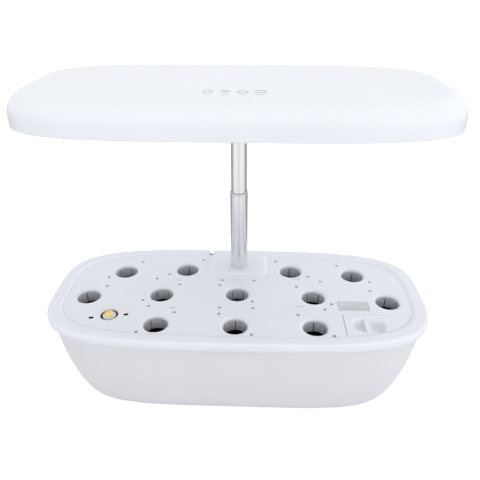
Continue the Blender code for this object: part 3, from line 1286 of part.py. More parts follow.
def build_pump(black, white, grey, steel, rubber):
    """The circulation pump that stands on the tank floor, its intake to the front."""
    axis_height = FLOOR_TOP + GAP + CUP_HEIGHT + GAP + PUMP_HEIGHT / 2
    place = (PUMP_X, PUMP_FRONT_Y, axis_height)
    build_pump_housing(black, place)
    build_impeller(white, place)
    build_pump_front(black, grey, place)
    shaft = turned("pump_shaft", [(SHAFT_RADIUS, -SHAFT_SEAT), (SHAFT_RADIUS, WELL_DEPTH
                                                                + SHAFT_SEAT - GAP)], SMALL_COUNT)
    piece("pump_shaft", lie_down(shaft), steel, place)
    stator = block("pump_coil", STATOR_HALF_WIDTH - GAP, STATOR_HALF_HEIGHT - GAP,
                   PUMP_LENGTH - STATOR_DEPTH + GAP, PUMP_LENGTH)
    piece("pump_coil", lie_down(stator), grey, place)
    seat = PUMP_HEIGHT / 2 - OUTLET_SEAT + GAP
    flange = PUMP_HEIGHT / 2 + GAP
    nozzle = [(OUTLET_BORE_RADIUS, seat), (OUTLET_RADIUS - GAP, seat),
              (OUTLET_RADIUS - GAP, flange), (OUTLET_FLANGE_RADIUS, flange),
              (OUTLET_FLANGE_RADIUS, flange + OUTLET_FLANGE_THICKNESS),
              (OUTLET_RADIUS, flange + OUTLET_FLANGE_THICKNESS),
              (OUTLET_RADIUS, flange + OUTLET_RISE), (OUTLET_BORE_RADIUS, flange + OUTLET_RISE)]
    outlet_place = (PUMP_X, PUMP_FRONT_Y + OUTLET_SETBACK, axis_height)
    piece("pump_outlet", turned("pump_outlet", nozzle, SMALL_COUNT, ring=True), black,
          outlet_place)
    cup = [(CUP_RADIUS / 2, CUP_HOLLOW), (CUP_RADIUS, 0), (CUP_NECK_RADIUS, CUP_HEIGHT / 2),
           (CUP_NECK_RADIUS, CUP_HEIGHT), (CUP_STEM_RADIUS, CUP_HEIGHT),
           (CUP_STEM_RADIUS, CUP_HEIGHT + GAP + CUP_STEM_LENGTH)]
    for number, (x, y) in enumerate(cup_places(), start=1):
        name = f"pump_cup_{number}"
        piece(name, turned(name, cup, SMALL_COUNT), rubber,
              (PUMP_X + x, PUMP_FRONT_Y + y, FLOOR_TOP + GAP))


def build_hood(white, aluminium, clear, green, steel, black):
    """The lamp hood and all that turns with it on the pole."""
    axis = empty("hood_axis", (0, POLE_Y, HOOD_BOTTOM))
    build_hood_top(white, axis)
    build_hood_base(white, axis)
    build_light(aluminium, clear, axis)
    build_driver_board(green, axis)
    build_touch_board(green, steel, axis)
    build_bracket(white, axis)
    build_jack("power_jack", 1, black, axis)
    build_jack("pump_jack", -1, black, axis)
    screw_set("hood_screw", hood_boss_places(), BASE_BOTTOM, steel, axis)
    screw_set("bracket_screw", boss_places(BRACKET_SCREW_CIRCLE), BASE_BOTTOM, steel, axis)


def main():
    """Build every piece of the garden."""
    clear_scene()
    white = finish("white_plastic", (0.80, 0.81, 0.83), 0.35)
    steel = finish("brushed_steel", (0.62, 0.61, 0.59), 0.3, metallic=1.0)
    rubber = finish("grey_rubber", (0.18, 0.18, 0.19), 0.8)
    yellow = finish("yellow_plastic", (0.80, 0.62, 0.08), 0.4)
    black = finish("black_plastic", (0.03, 0.03, 0.032), 0.45)
    grey = finish("dark_sponge", (0.06, 0.06, 0.065), 0.95)
    green = finish("circuit_board", (0.03, 0.16, 0.07), 0.5)
    aluminium = finish("aluminium_board", (0.72, 0.73, 0.74), 0.4, metallic=1.0)
    clear = finish("clear_diffuser", (0.9, 0.91, 0.92), 0.25, transmission=0.6)
    build_tank(white, rubber)
    build_deck(white)
    build_door(white)
    build_float(white, yellow, black)
    build_pole(white, steel)
    build_hood(white, aluminium, clear, green, steel, black)
    build_pump(black, white, grey, steel, rubber)


main()
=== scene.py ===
"""The countertop hydroponic garden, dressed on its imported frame.

A tapered water tank carries a planting deck with twelve slit sockets, a fill door and a
water float. A telescopic steel pole stands in the deck and carries a lamp hood. Metres,
+Z up, front towards -Y, origin on the table under the middle of the deck.
"""
from __future__ import annotations

import json
import logging
import math
from collections.abc import Callable, Iterable, Sequence
from dataclasses import dataclass
from enum import Enum
from typing import Any

import bmesh
import bpy
import numpy as np
from mathutils import Matrix
from mathutils.geometry import delaunay_2d_cdt

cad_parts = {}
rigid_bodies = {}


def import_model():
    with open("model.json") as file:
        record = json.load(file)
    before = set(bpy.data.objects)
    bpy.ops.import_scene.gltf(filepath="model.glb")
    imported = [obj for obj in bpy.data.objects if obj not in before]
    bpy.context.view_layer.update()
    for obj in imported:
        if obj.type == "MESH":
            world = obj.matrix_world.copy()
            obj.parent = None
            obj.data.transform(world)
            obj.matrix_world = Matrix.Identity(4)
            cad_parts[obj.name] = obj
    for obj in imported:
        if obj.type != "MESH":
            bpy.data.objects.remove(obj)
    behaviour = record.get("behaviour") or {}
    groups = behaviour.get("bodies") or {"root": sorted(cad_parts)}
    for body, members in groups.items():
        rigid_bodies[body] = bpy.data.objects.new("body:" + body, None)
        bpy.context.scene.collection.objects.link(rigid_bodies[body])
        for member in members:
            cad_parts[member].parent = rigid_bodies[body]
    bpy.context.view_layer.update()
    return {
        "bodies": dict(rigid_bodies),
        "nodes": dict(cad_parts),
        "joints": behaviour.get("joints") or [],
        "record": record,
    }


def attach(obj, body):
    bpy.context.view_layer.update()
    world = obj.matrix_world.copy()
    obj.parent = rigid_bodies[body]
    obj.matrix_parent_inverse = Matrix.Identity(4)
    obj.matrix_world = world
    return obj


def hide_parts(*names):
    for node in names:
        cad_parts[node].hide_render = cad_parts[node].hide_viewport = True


log = logging.getLogger("garden")

GAP = 0.0003
WELD = 0.000001
CREASE = math.radians(34)
NOISE_LOW, NOISE_HIGH = 0.3, 0.7
WHITE = (1, 1, 1, 1)
CORNERS = ((1, 1), (-1, 1), (-1, -1), (1, -1))
Colour = tuple[float, float, float]
Point = tuple[float, float]


@dataclass(frozen=True)
class Levels:
    """Heights above the table that several sub-assemblies share."""

    tank_bottom: float = 0.0023
    floor_top: float = 0.0051
    rim_bottom: float = 0.0983
    skirt_bottom: float = 0.1030
    tank_top: float = 0.1100
    panel_under: float = 0.1103
    panel_top: float = 0.1128
    deck_top: float = 0.1143
    plate_top: float = 0.1149
    tube_joint: float = 0.2168
    hood_bottom: float = 0.3263
    base_bottom: float = 0.3279
    base_top: float = 0.3299
    tube_top: float = 0.3499
    hood_ceiling: float = 0.3541
    hood_top: float = 0.3573


@dataclass(frozen=True)
class Plan:
    """Places, sizes and counts that several sub-assemblies share."""

    deck_half_x: float = 0.215
    deck_half_y: float = 0.095
    deck_power: float = 3.72
    pole_y: float = 0.057
    float_place: Point = (-0.140, -0.0490)
    door_thickness: float = 0.0024
    screw_bore: float = 0.0015


LEVELS = Levels()
PLAN = Plan()


class Slot(Enum):
    """The record's material slots that new pieces name."""

    WHITE = "white_plastic"
    STEEL = "brushed_steel"
    RUBBER = "grey_rubber"
    YELLOW = "yellow_plastic"
    BLACK = "black_plastic"


class Body(Enum):
    """The moving bodies that carry new pieces."""

    TANK = "tank"
    DECK = "deck"
    DOOR = "door"
    FLOAT = "float"
    UPPER_POLE = "upper_pole"
    HOOD = "hood"


class Direction(Enum):
    """The way a turned piece's axis points."""

    UP = "up"
    BACK = "back"


# Surfaces ---------------------------------------------------------------------------------


def outline_sweep(count: int, power: float = 3.9, slimness: float = 0.45) -> np.ndarray:
    """Parameters round a superellipse that gather where it bends.

    A quarter of |x|^p + |y/b|^p = 1 is measured by a blend of its arc length and the angle
    that it has turned through, and equal steps of that blend are mirrored to four quarters.

    Args:
        count: Number of parameters round the whole outline, a multiple of four.
        power: The superellipse's power p.
        slimness: Its half depth b for a half width of one.

    Returns:
        Ascending parameters from 0 to just under two pi.
    """
    share = np.linspace(0, 1, 6001)
    fine = (3 * share**2 - 2 * share**3) * math.pi / 2
    step_x = np.diff(np.abs(np.cos(fine)) ** (2 / power))
    step_y = np.diff(slimness * np.abs(np.sin(fine)) ** (2 / power))
    length = np.concatenate(([0.0], np.cumsum(np.hypot(step_x, step_y))))
    heading = np.unwrap(np.arctan2(step_y, step_x))
    turned_by = np.concatenate(([0.0], heading - heading[0], [heading[-1] - heading[0]]))
    turned_by = (turned_by[:-1] + turned_by[1:]) / 2
    measure = 0.5 * length / length[-1] + 0.5 * turned_by / turned_by[-1]
    quarter = np.interp(np.linspace(0, 1, count // 4 + 1), measure, fine)
    return np.concatenate((quarter[:-1], math.pi - quarter[:0:-1],
                           math.pi + quarter[:-1], 2 * math.pi - quarter[:0:-1]))


SWEEP = outline_sweep(272)


def superellipse(half_x: float, half_y: float, power: float,
                 sweep: np.ndarray = SWEEP, centre: Point = (0, 0)) -> np.ndarray:
    """The outline |x/a|^p + |y/b|^p = 1.

    x = a sgn(cos t) |cos t|^(2/p) and y = b sgn(sin t) |sin t|^(2/p) for each parameter t.

    Args:
        half_x: Half width a.
        half_y: Half depth b.
        power: The power p; 2 is an ellipse, and more is squarer.
        sweep: The parameters t.
        centre: Where the outline's middle lies.

    Returns:
        The points, one row each.
    """
    cosine = np.cos(sweep)
    sine = np.sin(sweep)
    x = centre[0] + half_x * np.sign(cosine) * np.abs(cosine) ** (2 / power)
    y = centre[1] + half_y * np.sign(sine) * np.abs(sine) ** (2 / power)
    return np.stack((x, y), axis=1)


def circle(radius: float, count: int, centre: Point = (0, 0), turn: float = 0) -> np.ndarray:
    """Points at equal angles round a circle, one row each."""
    angles = turn + np.arange(count) * 2 * math.pi / count
    return np.stack((centre[0] + radius * np.cos(angles),
                     centre[1] + radius * np.sin(angles)), axis=1)


def rounded_path(corners: Iterable[tuple[float, float, float]], steps: int = 5,
                 closed: bool = False, guard: float = GAP) -> np.ndarray:
    """A path through corners, each rounded by a curve that leaves both sides smoothly.

    A corner P with radius r becomes the quadratic curve (1-t)^2 A + 2t(1-t) P + t^2 B, where
    A and B lie r away on its two sides. One more point on each side, a guard beyond the
    curve, keeps the shading of the flat beside it clean.

    Args:
        corners: (across, up, radius) of each corner.
        steps: Steps along each rounding.
        closed: Whether the path runs back to its start.
        guard: How far the extra points lie outside a rounding.

    Returns:
        The path's points, one row each.
    """
    rows = np.array([(x, y, radius) for x, y, radius in corners], float)
    count = len(rows)
    share = np.linspace(0, 1, steps + 1)[:, None]
    pieces: list[np.ndarray] = []
    for index, (x, y, radius) in enumerate(rows):
        here = np.array((x, y))
        if radius <= 0 or (not closed and index in (0, count - 1)):
            pieces.append(here[None])
            continue
        ends = []
        guards = []
        for beside in (rows[index - 1], rows[(index + 1) % count]):
            reach = beside[:2] - here
            length = float(np.hypot(*reach))
            heading = reach / length
            ends.append(here + radius * heading)
            spare = length - radius - beside[2]
            wanted = guard and spare > 3 * guard
            guards.append([here + (radius + guard) * heading] if wanted else [])
        curve = ((1 - share) ** 2 * ends[0] + 2 * share * (1 - share) * here
                 + share**2 * ends[1])
        pieces.append(np.vstack([*guards[0], curve, *guards[1]]))
    return np.vstack(pieces)


def rounded_box(half_x: float, half_y: float, corner: float, steps: int,
                centre: Point = (0, 0)) -> np.ndarray:
    """A rectangle's closed outline with rounded corners, one row for each point."""
    return rounded_path([(centre[0] + x * half_x, centre[1] + y * half_y, corner)
                         for x, y in CORNERS], steps, closed=True, guard=0)


def four_places(half_x: float, half_y: float, centre: Point = (0, 0)) -> list[Point]:
    """The four corners of a rectangle round a centre."""
    return [(centre[0] + x * half_x, centre[1] + y * half_y) for x in (-1, 1) for y in (-1, 1)]


def at_height(outline: np.ndarray, height: float | np.ndarray) -> np.ndarray:
    """A flat outline lifted to a height, or to one height for each point."""
    return np.column_stack((outline, np.broadcast_to(height, len(outline))))


def swept(outline_at: Callable[[float, float], np.ndarray], profile: Iterable[Point]
          ) -> np.ndarray:
    """Grid rows made by one outline that grows, shrinks and climbs along a profile.

    Args:
        outline_at: Gives the outline's points for an inset or growth and a height.
        profile: The (inset or growth, height) rows.

    Returns:
        The grid, of shape (profile points, outline points, 3).
    """
    return np.stack([outline_at(across, height) for across, height in profile])


def turned(profile: np.ndarray, count: int, centre: Sequence[float] = (0, 0, 0),
           direction: Direction = Direction.UP) -> np.ndarray:
    """A grid turned round an axis: point (i, j) is profile point i at angle j.

    Args:
        profile: (radius, distance along the axis) rows.
        count: Number of angles.
        centre: Where the axis starts.
        direction: The way the axis points.

    Returns:
        The grid, of shape (profile points, count, 3).
    """
    angles = np.arange(count) * 2 * math.pi / count
    radius = profile[:, 0, None]
    along = np.broadcast_to(profile[:, 1, None], (len(profile), count))
    across = radius * np.cos(angles)
    other = radius * np.sin(angles)
    order = (across, other, along) if direction is Direction.UP else (across, along, -other)
    return np.stack(order, axis=-1) + np.asarray(centre, float)


def inside(points: np.ndarray, loops: Sequence[np.ndarray]) -> np.ndarray:
    """Which points lie inside an odd number of the loops.

    A ray from each point towards +X is crossed by a loop's edge where the edge's two ends
    lie on both sides of it and the crossing is to the right.

    Args:
        points: (x, y) rows.
        loops: Closed outlines.

    Returns:
        One flag for each point.
    """
    odd = np.zeros(len(points), bool)
    for loop in loops:
        start_x, start_y = loop.T
        end_x, end_y = np.roll(loop, -1, axis=0).T
        px = points[:, 0, None]
        py = points[:, 1, None]
        spans = (start_y > py) != (end_y > py)
        rise = np.where(end_y == start_y, 1, end_y - start_y)
        crossing = start_x + (py - start_y) * (end_x - start_x) / rise
        odd ^= (np.count_nonzero(spans & (px < crossing), axis=1) % 2).astype(bool)
    return odd


class Skin:
    """A surface gathered from grids and flat sheets, and made one mesh."""

    def __init__(self, name: str) -> None:
        """Starts an empty surface for the piece of this name."""
        self.name = name
        self.points: list[np.ndarray] = []
        self.faces: list[list[int]] = []
        self.finishes: list[int] = []
        self.count = 0

    def _keep(self, points: np.ndarray, faces: list[list[int]], finish: int) -> None:
        """Adds points and the faces between them."""
        self.points.append(np.asarray(points, float))
        self.faces.extend(faces)
        self.finishes.extend([finish] * len(faces))
        self.count += len(points)

    def grid(self, rows: np.ndarray, closed: bool = True, finish: int = 0) -> None:
        """Adds a quad between each four neighbours of a grid.

        Args:
            rows: Points of shape (rows, columns, 3).
            closed: Whether the last column joins the first.
            finish: Number of the faces' finish.
        """
        depth, width = rows.shape[:2]
        index = self.count + np.arange(depth * width).reshape(depth, width)
        after = np.roll(index, -1, axis=1)
        quads = np.stack((index[:-1], after[:-1], after[1:], index[1:]), axis=-1)
        if not closed:
            quads = quads[:, :-1]
        self._keep(rows.reshape(-1, 3), quads.reshape(-1, 4).tolist(), finish)

    def cap(self, loop: np.ndarray, finish: int = 0) -> None:
        """Adds one flat face over a loop of points."""
        self._keep(loop, [list(range(self.count, self.count + len(loop)))], finish)

    def tube(self, rows: np.ndarray, finish: int = 0) -> None:
        """Adds a grid with a flat face over its first and its last row."""
        self.grid(rows, finish=finish)
        self.cap(rows[0], finish)
        self.cap(rows[-1], finish)

    def ring(self, rows: np.ndarray, finish: int = 0) -> None:
        """Adds a grid whose last row joins its first."""
        self.grid(np.concatenate((rows, rows[:1])), finish=finish)

    def band(self, path: np.ndarray, width: float, low: float | np.ndarray,
             thickness: float, closed: bool = False, finish: int = 0) -> None:
        """Adds a flat band along a path, such as a printed stroke.

        Each edge lies half a width to the side of the path, square to the direction from the
        point before to the point after.

        Args:
            path: (x, y) rows.
            width: The band's width.
            low: Height of its underside, one for all or one for each point.
            thickness: How far its top lies above that.
            closed: Whether the path runs back to its start.
            finish: Number of the faces' finish.
        """
        along = np.roll(path, -1, axis=0) - np.roll(path, 1, axis=0)
        if not closed:
            along[0], along[-1] = path[1] - path[0], path[-1] - path[-2]
        along /= np.hypot(*along.T)[:, None]
        side = np.stack((-along[:, 1], along[:, 0]), axis=1) * width / 2
        rows = np.stack((at_height(path - side, low), at_height(path - side, low + thickness),
                         at_height(path + side, low + thickness), at_height(path + side, low)))
        if closed:
            self.ring(rows, finish)
            return
        self.grid(rows.transpose(1, 0, 2), finish=finish)
        self.cap(rows[:, 0], finish)
        self.cap(rows[:, -1], finish)

    def sheet(self, height: float, outer: np.ndarray, holes: Sequence[np.ndarray] = (),
              finish: int = 0) -> None:
        """Adds a flat sheet between an outline and its holes.

        The loops' points are joined by Delaunay triangles, and the triangles whose middles
        lie inside the outline and outside every hole are kept.

        Args:
            height: The sheet's height.
            outer: The sheet's outline.
            holes: The outlines cut out of it.
            finish: Number of the faces' finish.
        """
        loops = [outer, *holes]
        points = np.vstack(loops)
        edges: list[tuple[int, int]] = []
        first = 0
        for loop in loops:
            index = first + np.arange(len(loop))
            edges.extend(zip(index.tolist(), np.roll(index, -1).tolist()))
            first += len(loop)
        flat, _, faces, *_ = delaunay_2d_cdt(points.tolist(), edges, [], 0, WELD / 10)
        flat_points = np.array([tuple(point) for point in flat])
        triangles = np.array(faces)
        kept = triangles[inside(flat_points[triangles].mean(axis=1), loops)]
        self._keep(at_height(flat_points, height), (kept + self.count).tolist(), finish)

    def made(self, finishes: Sequence[bpy.types.Material]) -> bpy.types.Object:
        """Makes the surface one smooth object with sharp creases, faces outwards.

        Args:
            finishes: The materials, in the order of the faces' numbers.

        Returns:
            The new object, at the origin.
        """
        mesh = bpy.data.meshes.new(self.name)
        mesh.from_pydata(np.vstack(self.points).tolist(), [], self.faces)
        mesh.polygons.foreach_set("material_index", self.finishes)
        for finish in finishes:
            mesh.materials.append(finish)
        tidy(mesh)
        piece = bpy.data.objects.new(self.name, mesh)
        bpy.context.collection.objects.link(piece)
        return piece


def tidy(mesh: bpy.types.Mesh) -> None:
    """Welds a mesh's seams and poles, turns its faces outwards and marks its creases."""
    shape = bmesh.new()
    shape.from_mesh(mesh)
    bmesh.ops.remove_doubles(shape, verts=shape.verts, dist=WELD)
    bmesh.ops.dissolve_degenerate(shape, edges=shape.edges, dist=WELD / 10)
    loose = [vert for vert in shape.verts if not vert.link_faces]
    bmesh.ops.delete(shape, geom=loose, context="VERTS")
    bmesh.ops.recalc_face_normals(shape, faces=shape.faces)
    shape.to_mesh(mesh)
    shape.free()
    mesh.shade_smooth()
    mesh.set_sharp_from_angle(angle=CREASE)


def carve(piece: bpy.types.Object, *cutters: bpy.types.Object) -> None:
    """Cuts shapes out of a piece with the exact solver and keeps the result as its mesh."""
    for cutter in cutters:
        step = piece.modifiers.new(cutter.name, "BOOLEAN")
        step.object = cutter
        step.operation = "DIFFERENCE"
        step.solver = "EXACT"
    graph = bpy.context.evaluated_depsgraph_get()
    result = bpy.data.meshes.new_from_object(piece.evaluated_get(graph))
    piece.modifiers.clear()
    old = piece.data
    piece.data = result
    bpy.data.meshes.remove(old)
    result.name = piece.name
    for cutter in cutters:
        bpy.data.meshes.remove(cutter.data)
    tidy(result)


def show(piece: bpy.types.Object, body: Body, slot: Slot, *nodes: str) -> bpy.types.Object:
    """Lets a piece ride on its body and stand for CAD nodes.

    Args:
        piece: The finished piece.
        body: The body that it moves with.
        slot: The record's slot of its finish; not used.
        nodes: The CAD nodes that it replaces.

    Returns:
        The same piece.
    """
    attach(piece, body.value)
    if nodes:
        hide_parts(*nodes)
    log.info("%s rides on %s: %d faces, replaces %s", piece.name, body.value,
             len(piece.data.polygons), ", ".join(nodes) or "nothing")
    return piece


# Finishes ---------------------------------------------------------------------------------


class Nodes:
    """A node tree that is built up by short calls."""

    def __init__(self, tree: bpy.types.NodeTree) -> None:
        """Keeps the tree."""
        self.tree = tree

    def feed(self, socket: bpy.types.NodeSocket, value: Any) -> None:
        """Joins another socket to this one, or sets this one's value."""
        if isinstance(value, bpy.types.NodeSocket):
            self.tree.links.new(value, socket)
        else:
            socket.default_value = value

    def add(self, kind: str, *inputs: Any, **settings: Any) -> bpy.types.Node:
        """Adds a node.

        Args:
            kind: The node's type, without ShaderNode before it.
            inputs: Sockets or values for its first inputs, in their order.
            settings: The node's own settings.

        Returns:
            The node.
        """
        node = self.tree.nodes.new("ShaderNode" + kind)
        for key, value in settings.items():
            setattr(node, key, value)
        for socket, value in zip(node.inputs, inputs):
            self.feed(socket, value)
        return node

    def sum(self, operation: str, *values: Any) -> bpy.types.NodeSocket:
        """The result of a Math node."""
        return self.add("Math", *values, operation=operation).outputs[0]

    def faded(self, value: bpy.types.NodeSocket, start: Point, end: Point, smooth: bool = True
              ) -> bpy.types.NodeSocket:
        """A value carried from one range to another.

        Args:
            value: The socket that carries the value.
            start: A value and what it becomes.
            end: A higher value and what it becomes.
            smooth: Whether the change eases in and out.

        Returns:
            The socket that carries the result.
        """
        kind = "SMOOTHSTEP" if smooth else "LINEAR"
        return self.add("MapRange", value, start[0], end[0], start[1], end[1],
                        interpolation_type=kind).outputs["Result"]

    def seen(self, *kinds: str) -> bpy.types.NodeSocket:
        """One where the ray is of one of these kinds, such as Camera, and zero elsewhere."""
        path = self.add("LightPath")
        value = path.outputs[f"Is {kinds[0]} Ray"]
        for kind in kinds[1:]:
            value = self.sum("MAXIMUM", value, path.outputs[f"Is {kind} Ray"])
        return value

    def mixed(self, factor: bpy.types.NodeSocket, first: bpy.types.Node,
              second: bpy.types.Node) -> bpy.types.NodeSocket:
        """The first node's shader where the factor is zero, and the second's where it is one."""
        return self.add("MixShader", factor, first.outputs[0], second.outputs[0]).outputs[0]

    def surface(self, output: str, shader: bpy.types.NodeSocket) -> None:
        """Makes a shader the surface of the tree's output node."""
        self.feed(self.tree.nodes[output].inputs["Surface"], shader)


class Recipe(Nodes):
    """A material's node tree, built up from noise, ranges, blends and relief."""

    def __init__(self, name: str) -> None:
        """Starts a Principled material whose patterns read Object coordinates."""
        self.material = bpy.data.materials.new(name)
        self.material.use_nodes = True
        super().__init__(self.material.node_tree)
        self.shader = self.tree.nodes["Principled BSDF"]
        self.place = self.add("TexCoord").outputs["Object"]

    def constants(self, **values: Any) -> None:
        """Sets the shader's own sockets; an underscore in a key stands for a space."""
        for key, value in values.items():
            self.shader.inputs[key.replace("_", " ")].default_value = value

    def noise(self, scale: float, detail: float = 2, stretch: Colour = (1, 1, 1)
              ) -> bpy.types.NodeSocket:
        """Cloudy noise, with a number of clouds per metre and a stretch along each axis."""
        mapping = self.add("Mapping", self.place)
        mapping.inputs["Scale"].default_value = stretch
        texture = self.add("TexNoise", mapping.outputs["Vector"])
        texture.inputs["Scale"].default_value = scale
        texture.inputs["Detail"].default_value = detail
        return texture.outputs["Fac"]

    def cells(self, scale: float) -> bpy.types.NodeSocket:
        """Distance to the nearest of scattered points, with their number per metre."""
        texture = self.add("TexVoronoi", self.place)
        texture.inputs["Scale"].default_value = scale
        return texture.outputs["Distance"]

    def spread(self, factor: bpy.types.NodeSocket, low: float, high: float
               ) -> bpy.types.NodeSocket:
        """The factor's middle range carried to low..high."""
        return self.faded(factor, (NOISE_LOW, low), (NOISE_HIGH, high), False)

    def tint(self, factor: bpy.types.NodeSocket, colour: Colour, dark: float, light: float
             ) -> None:
        """Lets the base colour wander between two shares of a colour."""
        node = self.add("Mix", data_type="RGBA")
        self.feed(node.inputs["Factor"], self.spread(factor, 0, 1))
        for socket, share in ((node.inputs[6], dark), (node.inputs[7], light)):
            socket.default_value = (*(min(1.0, part * share) for part in colour), 1)
        self.feed(self.shader.inputs["Base Color"], node.outputs[2])

    def gloss(self, factor: bpy.types.NodeSocket, low: float, high: float) -> None:
        """Lets the roughness wander between two values."""
        self.feed(self.shader.inputs["Roughness"], self.spread(factor, low, high))

    def paint_height_shade(self, high: float, low: float, share: float) -> None:
        """Paints shade: the base colour darkens smoothly to a share of itself between two heights.
        """
        height = self.add("SeparateXYZ", self.place).outputs["Z"]
        colour = self.shader.inputs["Base Color"]
        dimmed = self.add("VectorMath", colour.links[0].from_socket, operation="SCALE")
        self.feed(dimmed.inputs["Scale"], self.faded(height, (low, share), (high, 1)))
        self.feed(colour, dimmed.outputs[0])

    def relief(self, height: bpy.types.NodeSocket, depth: float, strength: float) -> None:
        """Raises the surface by a height pattern, a number of metres deep."""
        node = self.add("Bump", strength, depth)
        self.feed(node.inputs["Height"], height)
        self.feed(self.shader.inputs["Normal"], node.outputs["Normal"])


@dataclass(frozen=True)
class MouldedPlastic:
    """Injection-moulded plastic: spark-eroded grain and a slow drift in tone and gloss."""

    name: str
    colour: Colour
    roughness: float = 0.34
    drift: float = 0.012
    drift_scale: float = 22
    grain_scale: float = 1500
    depth: float = 0.00002
    sheen: float = 0.5

    def made(self) -> bpy.types.Material:
        """Makes the material."""
        recipe = Recipe(self.name)
        grain = recipe.noise(self.grain_scale, 3)
        recipe.tint(recipe.noise(self.drift_scale), self.colour, 1 - self.drift, 1 + self.drift)
        recipe.gloss(grain, self.roughness - 0.04, self.roughness + 0.05)
        recipe.relief(grain, self.depth, 0.35)
        recipe.constants(Specular_IOR_Level=self.sheen)
        return recipe.material


@dataclass(frozen=True)
class SocketShadePlastic:
    """The deck's plastic where it turns down into a socket, with painted shade that darkens it
    deeper down.
    """

    name: str
    colour: Colour = (0.84, 0.855, 0.90)
    high: float = LEVELS.panel_top - 0.0006
    low: float = LEVELS.panel_top - 0.0052
    share: float = 0.68

    def made(self) -> bpy.types.Material:
        """Makes the material."""
        recipe = Recipe(self.name)
        drift = recipe.noise(60)
        recipe.tint(drift, self.colour, 0.98, 1.02)
        # Painted shade: the colour darkens from just under the panel down into the bore.
        recipe.paint_height_shade(self.high, self.low, self.share)
        recipe.gloss(drift, 0.32, 0.40)
        recipe.relief(recipe.noise(1500, 3), 0.00002, 0.35)
        return recipe.material


@dataclass(frozen=True)
class SatinSteel:
    """Satin stainless steel, ground round its axis, which smears reflections along it."""

    name: str
    colour: Colour = (0.81, 0.825, 0.85)
    roughness: float = 0.25
    grain: Colour = (0.04, 0.04, 1)

    def made(self) -> bpy.types.Material:
        """Makes the material."""
        recipe = Recipe(self.name)
        grain = recipe.noise(2600, 3, self.grain)
        recipe.tint(grain, self.colour, 0.98, 1.02)
        recipe.gloss(grain, self.roughness - 0.03, self.roughness + 0.03)
        recipe.relief(grain, 0.0000015, 0.15)
        recipe.constants(Metallic=1.0, Anisotropic=0.8, Anisotropic_Rotation=0.25)
        return recipe.material


@dataclass(frozen=True)
class Rubber:
    """Matt moulded rubber with a dusty bloom."""

    name: str
    colour: Colour = (0.12, 0.12, 0.125)

    def made(self) -> bpy.types.Material:
        """Makes the material."""
        recipe = Recipe(self.name)
        bloom = recipe.noise(180, 4)
        recipe.tint(bloom, self.colour, 0.85, 1.25)
        recipe.gloss(bloom, 0.68, 0.85)
        recipe.relief(recipe.noise(2200, 3), 0.00004, 0.5)
        return recipe.material


@dataclass(frozen=True)
class Sponge:
    """Open-cell foam: dark pores between lighter walls."""

    name: str
    colour: Colour = (0.055, 0.055, 0.06)

    def made(self) -> bpy.types.Material:
        """Makes the material."""
        recipe = Recipe(self.name)
        pores = recipe.cells(900)
        recipe.tint(pores, self.colour, 1.9, 0.4)
        recipe.gloss(pores, 0.85, 0.98)
        recipe.relief(pores, 0.0006, 0.9)
        return recipe.material


@dataclass(frozen=True)
class CircuitBoard:
    """A board's solder mask over a faint weave of glass cloth."""

    name: str
    colour: Colour
    metal: float = 0.0

    def made(self) -> bpy.types.Material:
        """Makes the material."""
        recipe = Recipe(self.name)
        warp = recipe.noise(500, 1, (1, 6, 1))
        recipe.tint(warp, self.colour, 0.88, 1.1)
        recipe.gloss(recipe.noise(120, 2), 0.32, 0.42)
        recipe.relief(warp, 0.00003, 0.4)
        recipe.constants(Metallic=self.metal)
        return recipe.material


@dataclass(frozen=True)
class FrostedSheet:
    """A milky light diffuser with a fine surface frost."""

    name: str
    colour: Colour = (0.86, 0.87, 0.88)

    def made(self) -> bpy.types.Material:
        """Makes the material."""
        recipe = Recipe(self.name)
        frost = recipe.noise(1800, 4)
        recipe.tint(recipe.noise(60), self.colour, 0.98, 1.02)
        recipe.gloss(frost, 0.3, 0.48)
        recipe.relief(frost, 0.00003, 0.4)
        recipe.constants(Transmission_Weight=0.45, IOR=1.49)
        return recipe.material


@dataclass(frozen=True)
class InkAndPaintedShade:
    """Thin pad-printed ink, slightly uneven at its edges, also used for painted shade in the deck's
    dimples.
    """

    name: str
    colour: Colour

    def made(self) -> bpy.types.Material:
        """Makes the material."""
        recipe = Recipe(self.name)
        ink = recipe.noise(3000, 2)
        recipe.tint(ink, self.colour, 0.92, 1.08)
        recipe.gloss(ink, 0.45, 0.6)
        recipe.relief(ink, 0.00001, 0.3)
        return recipe.material


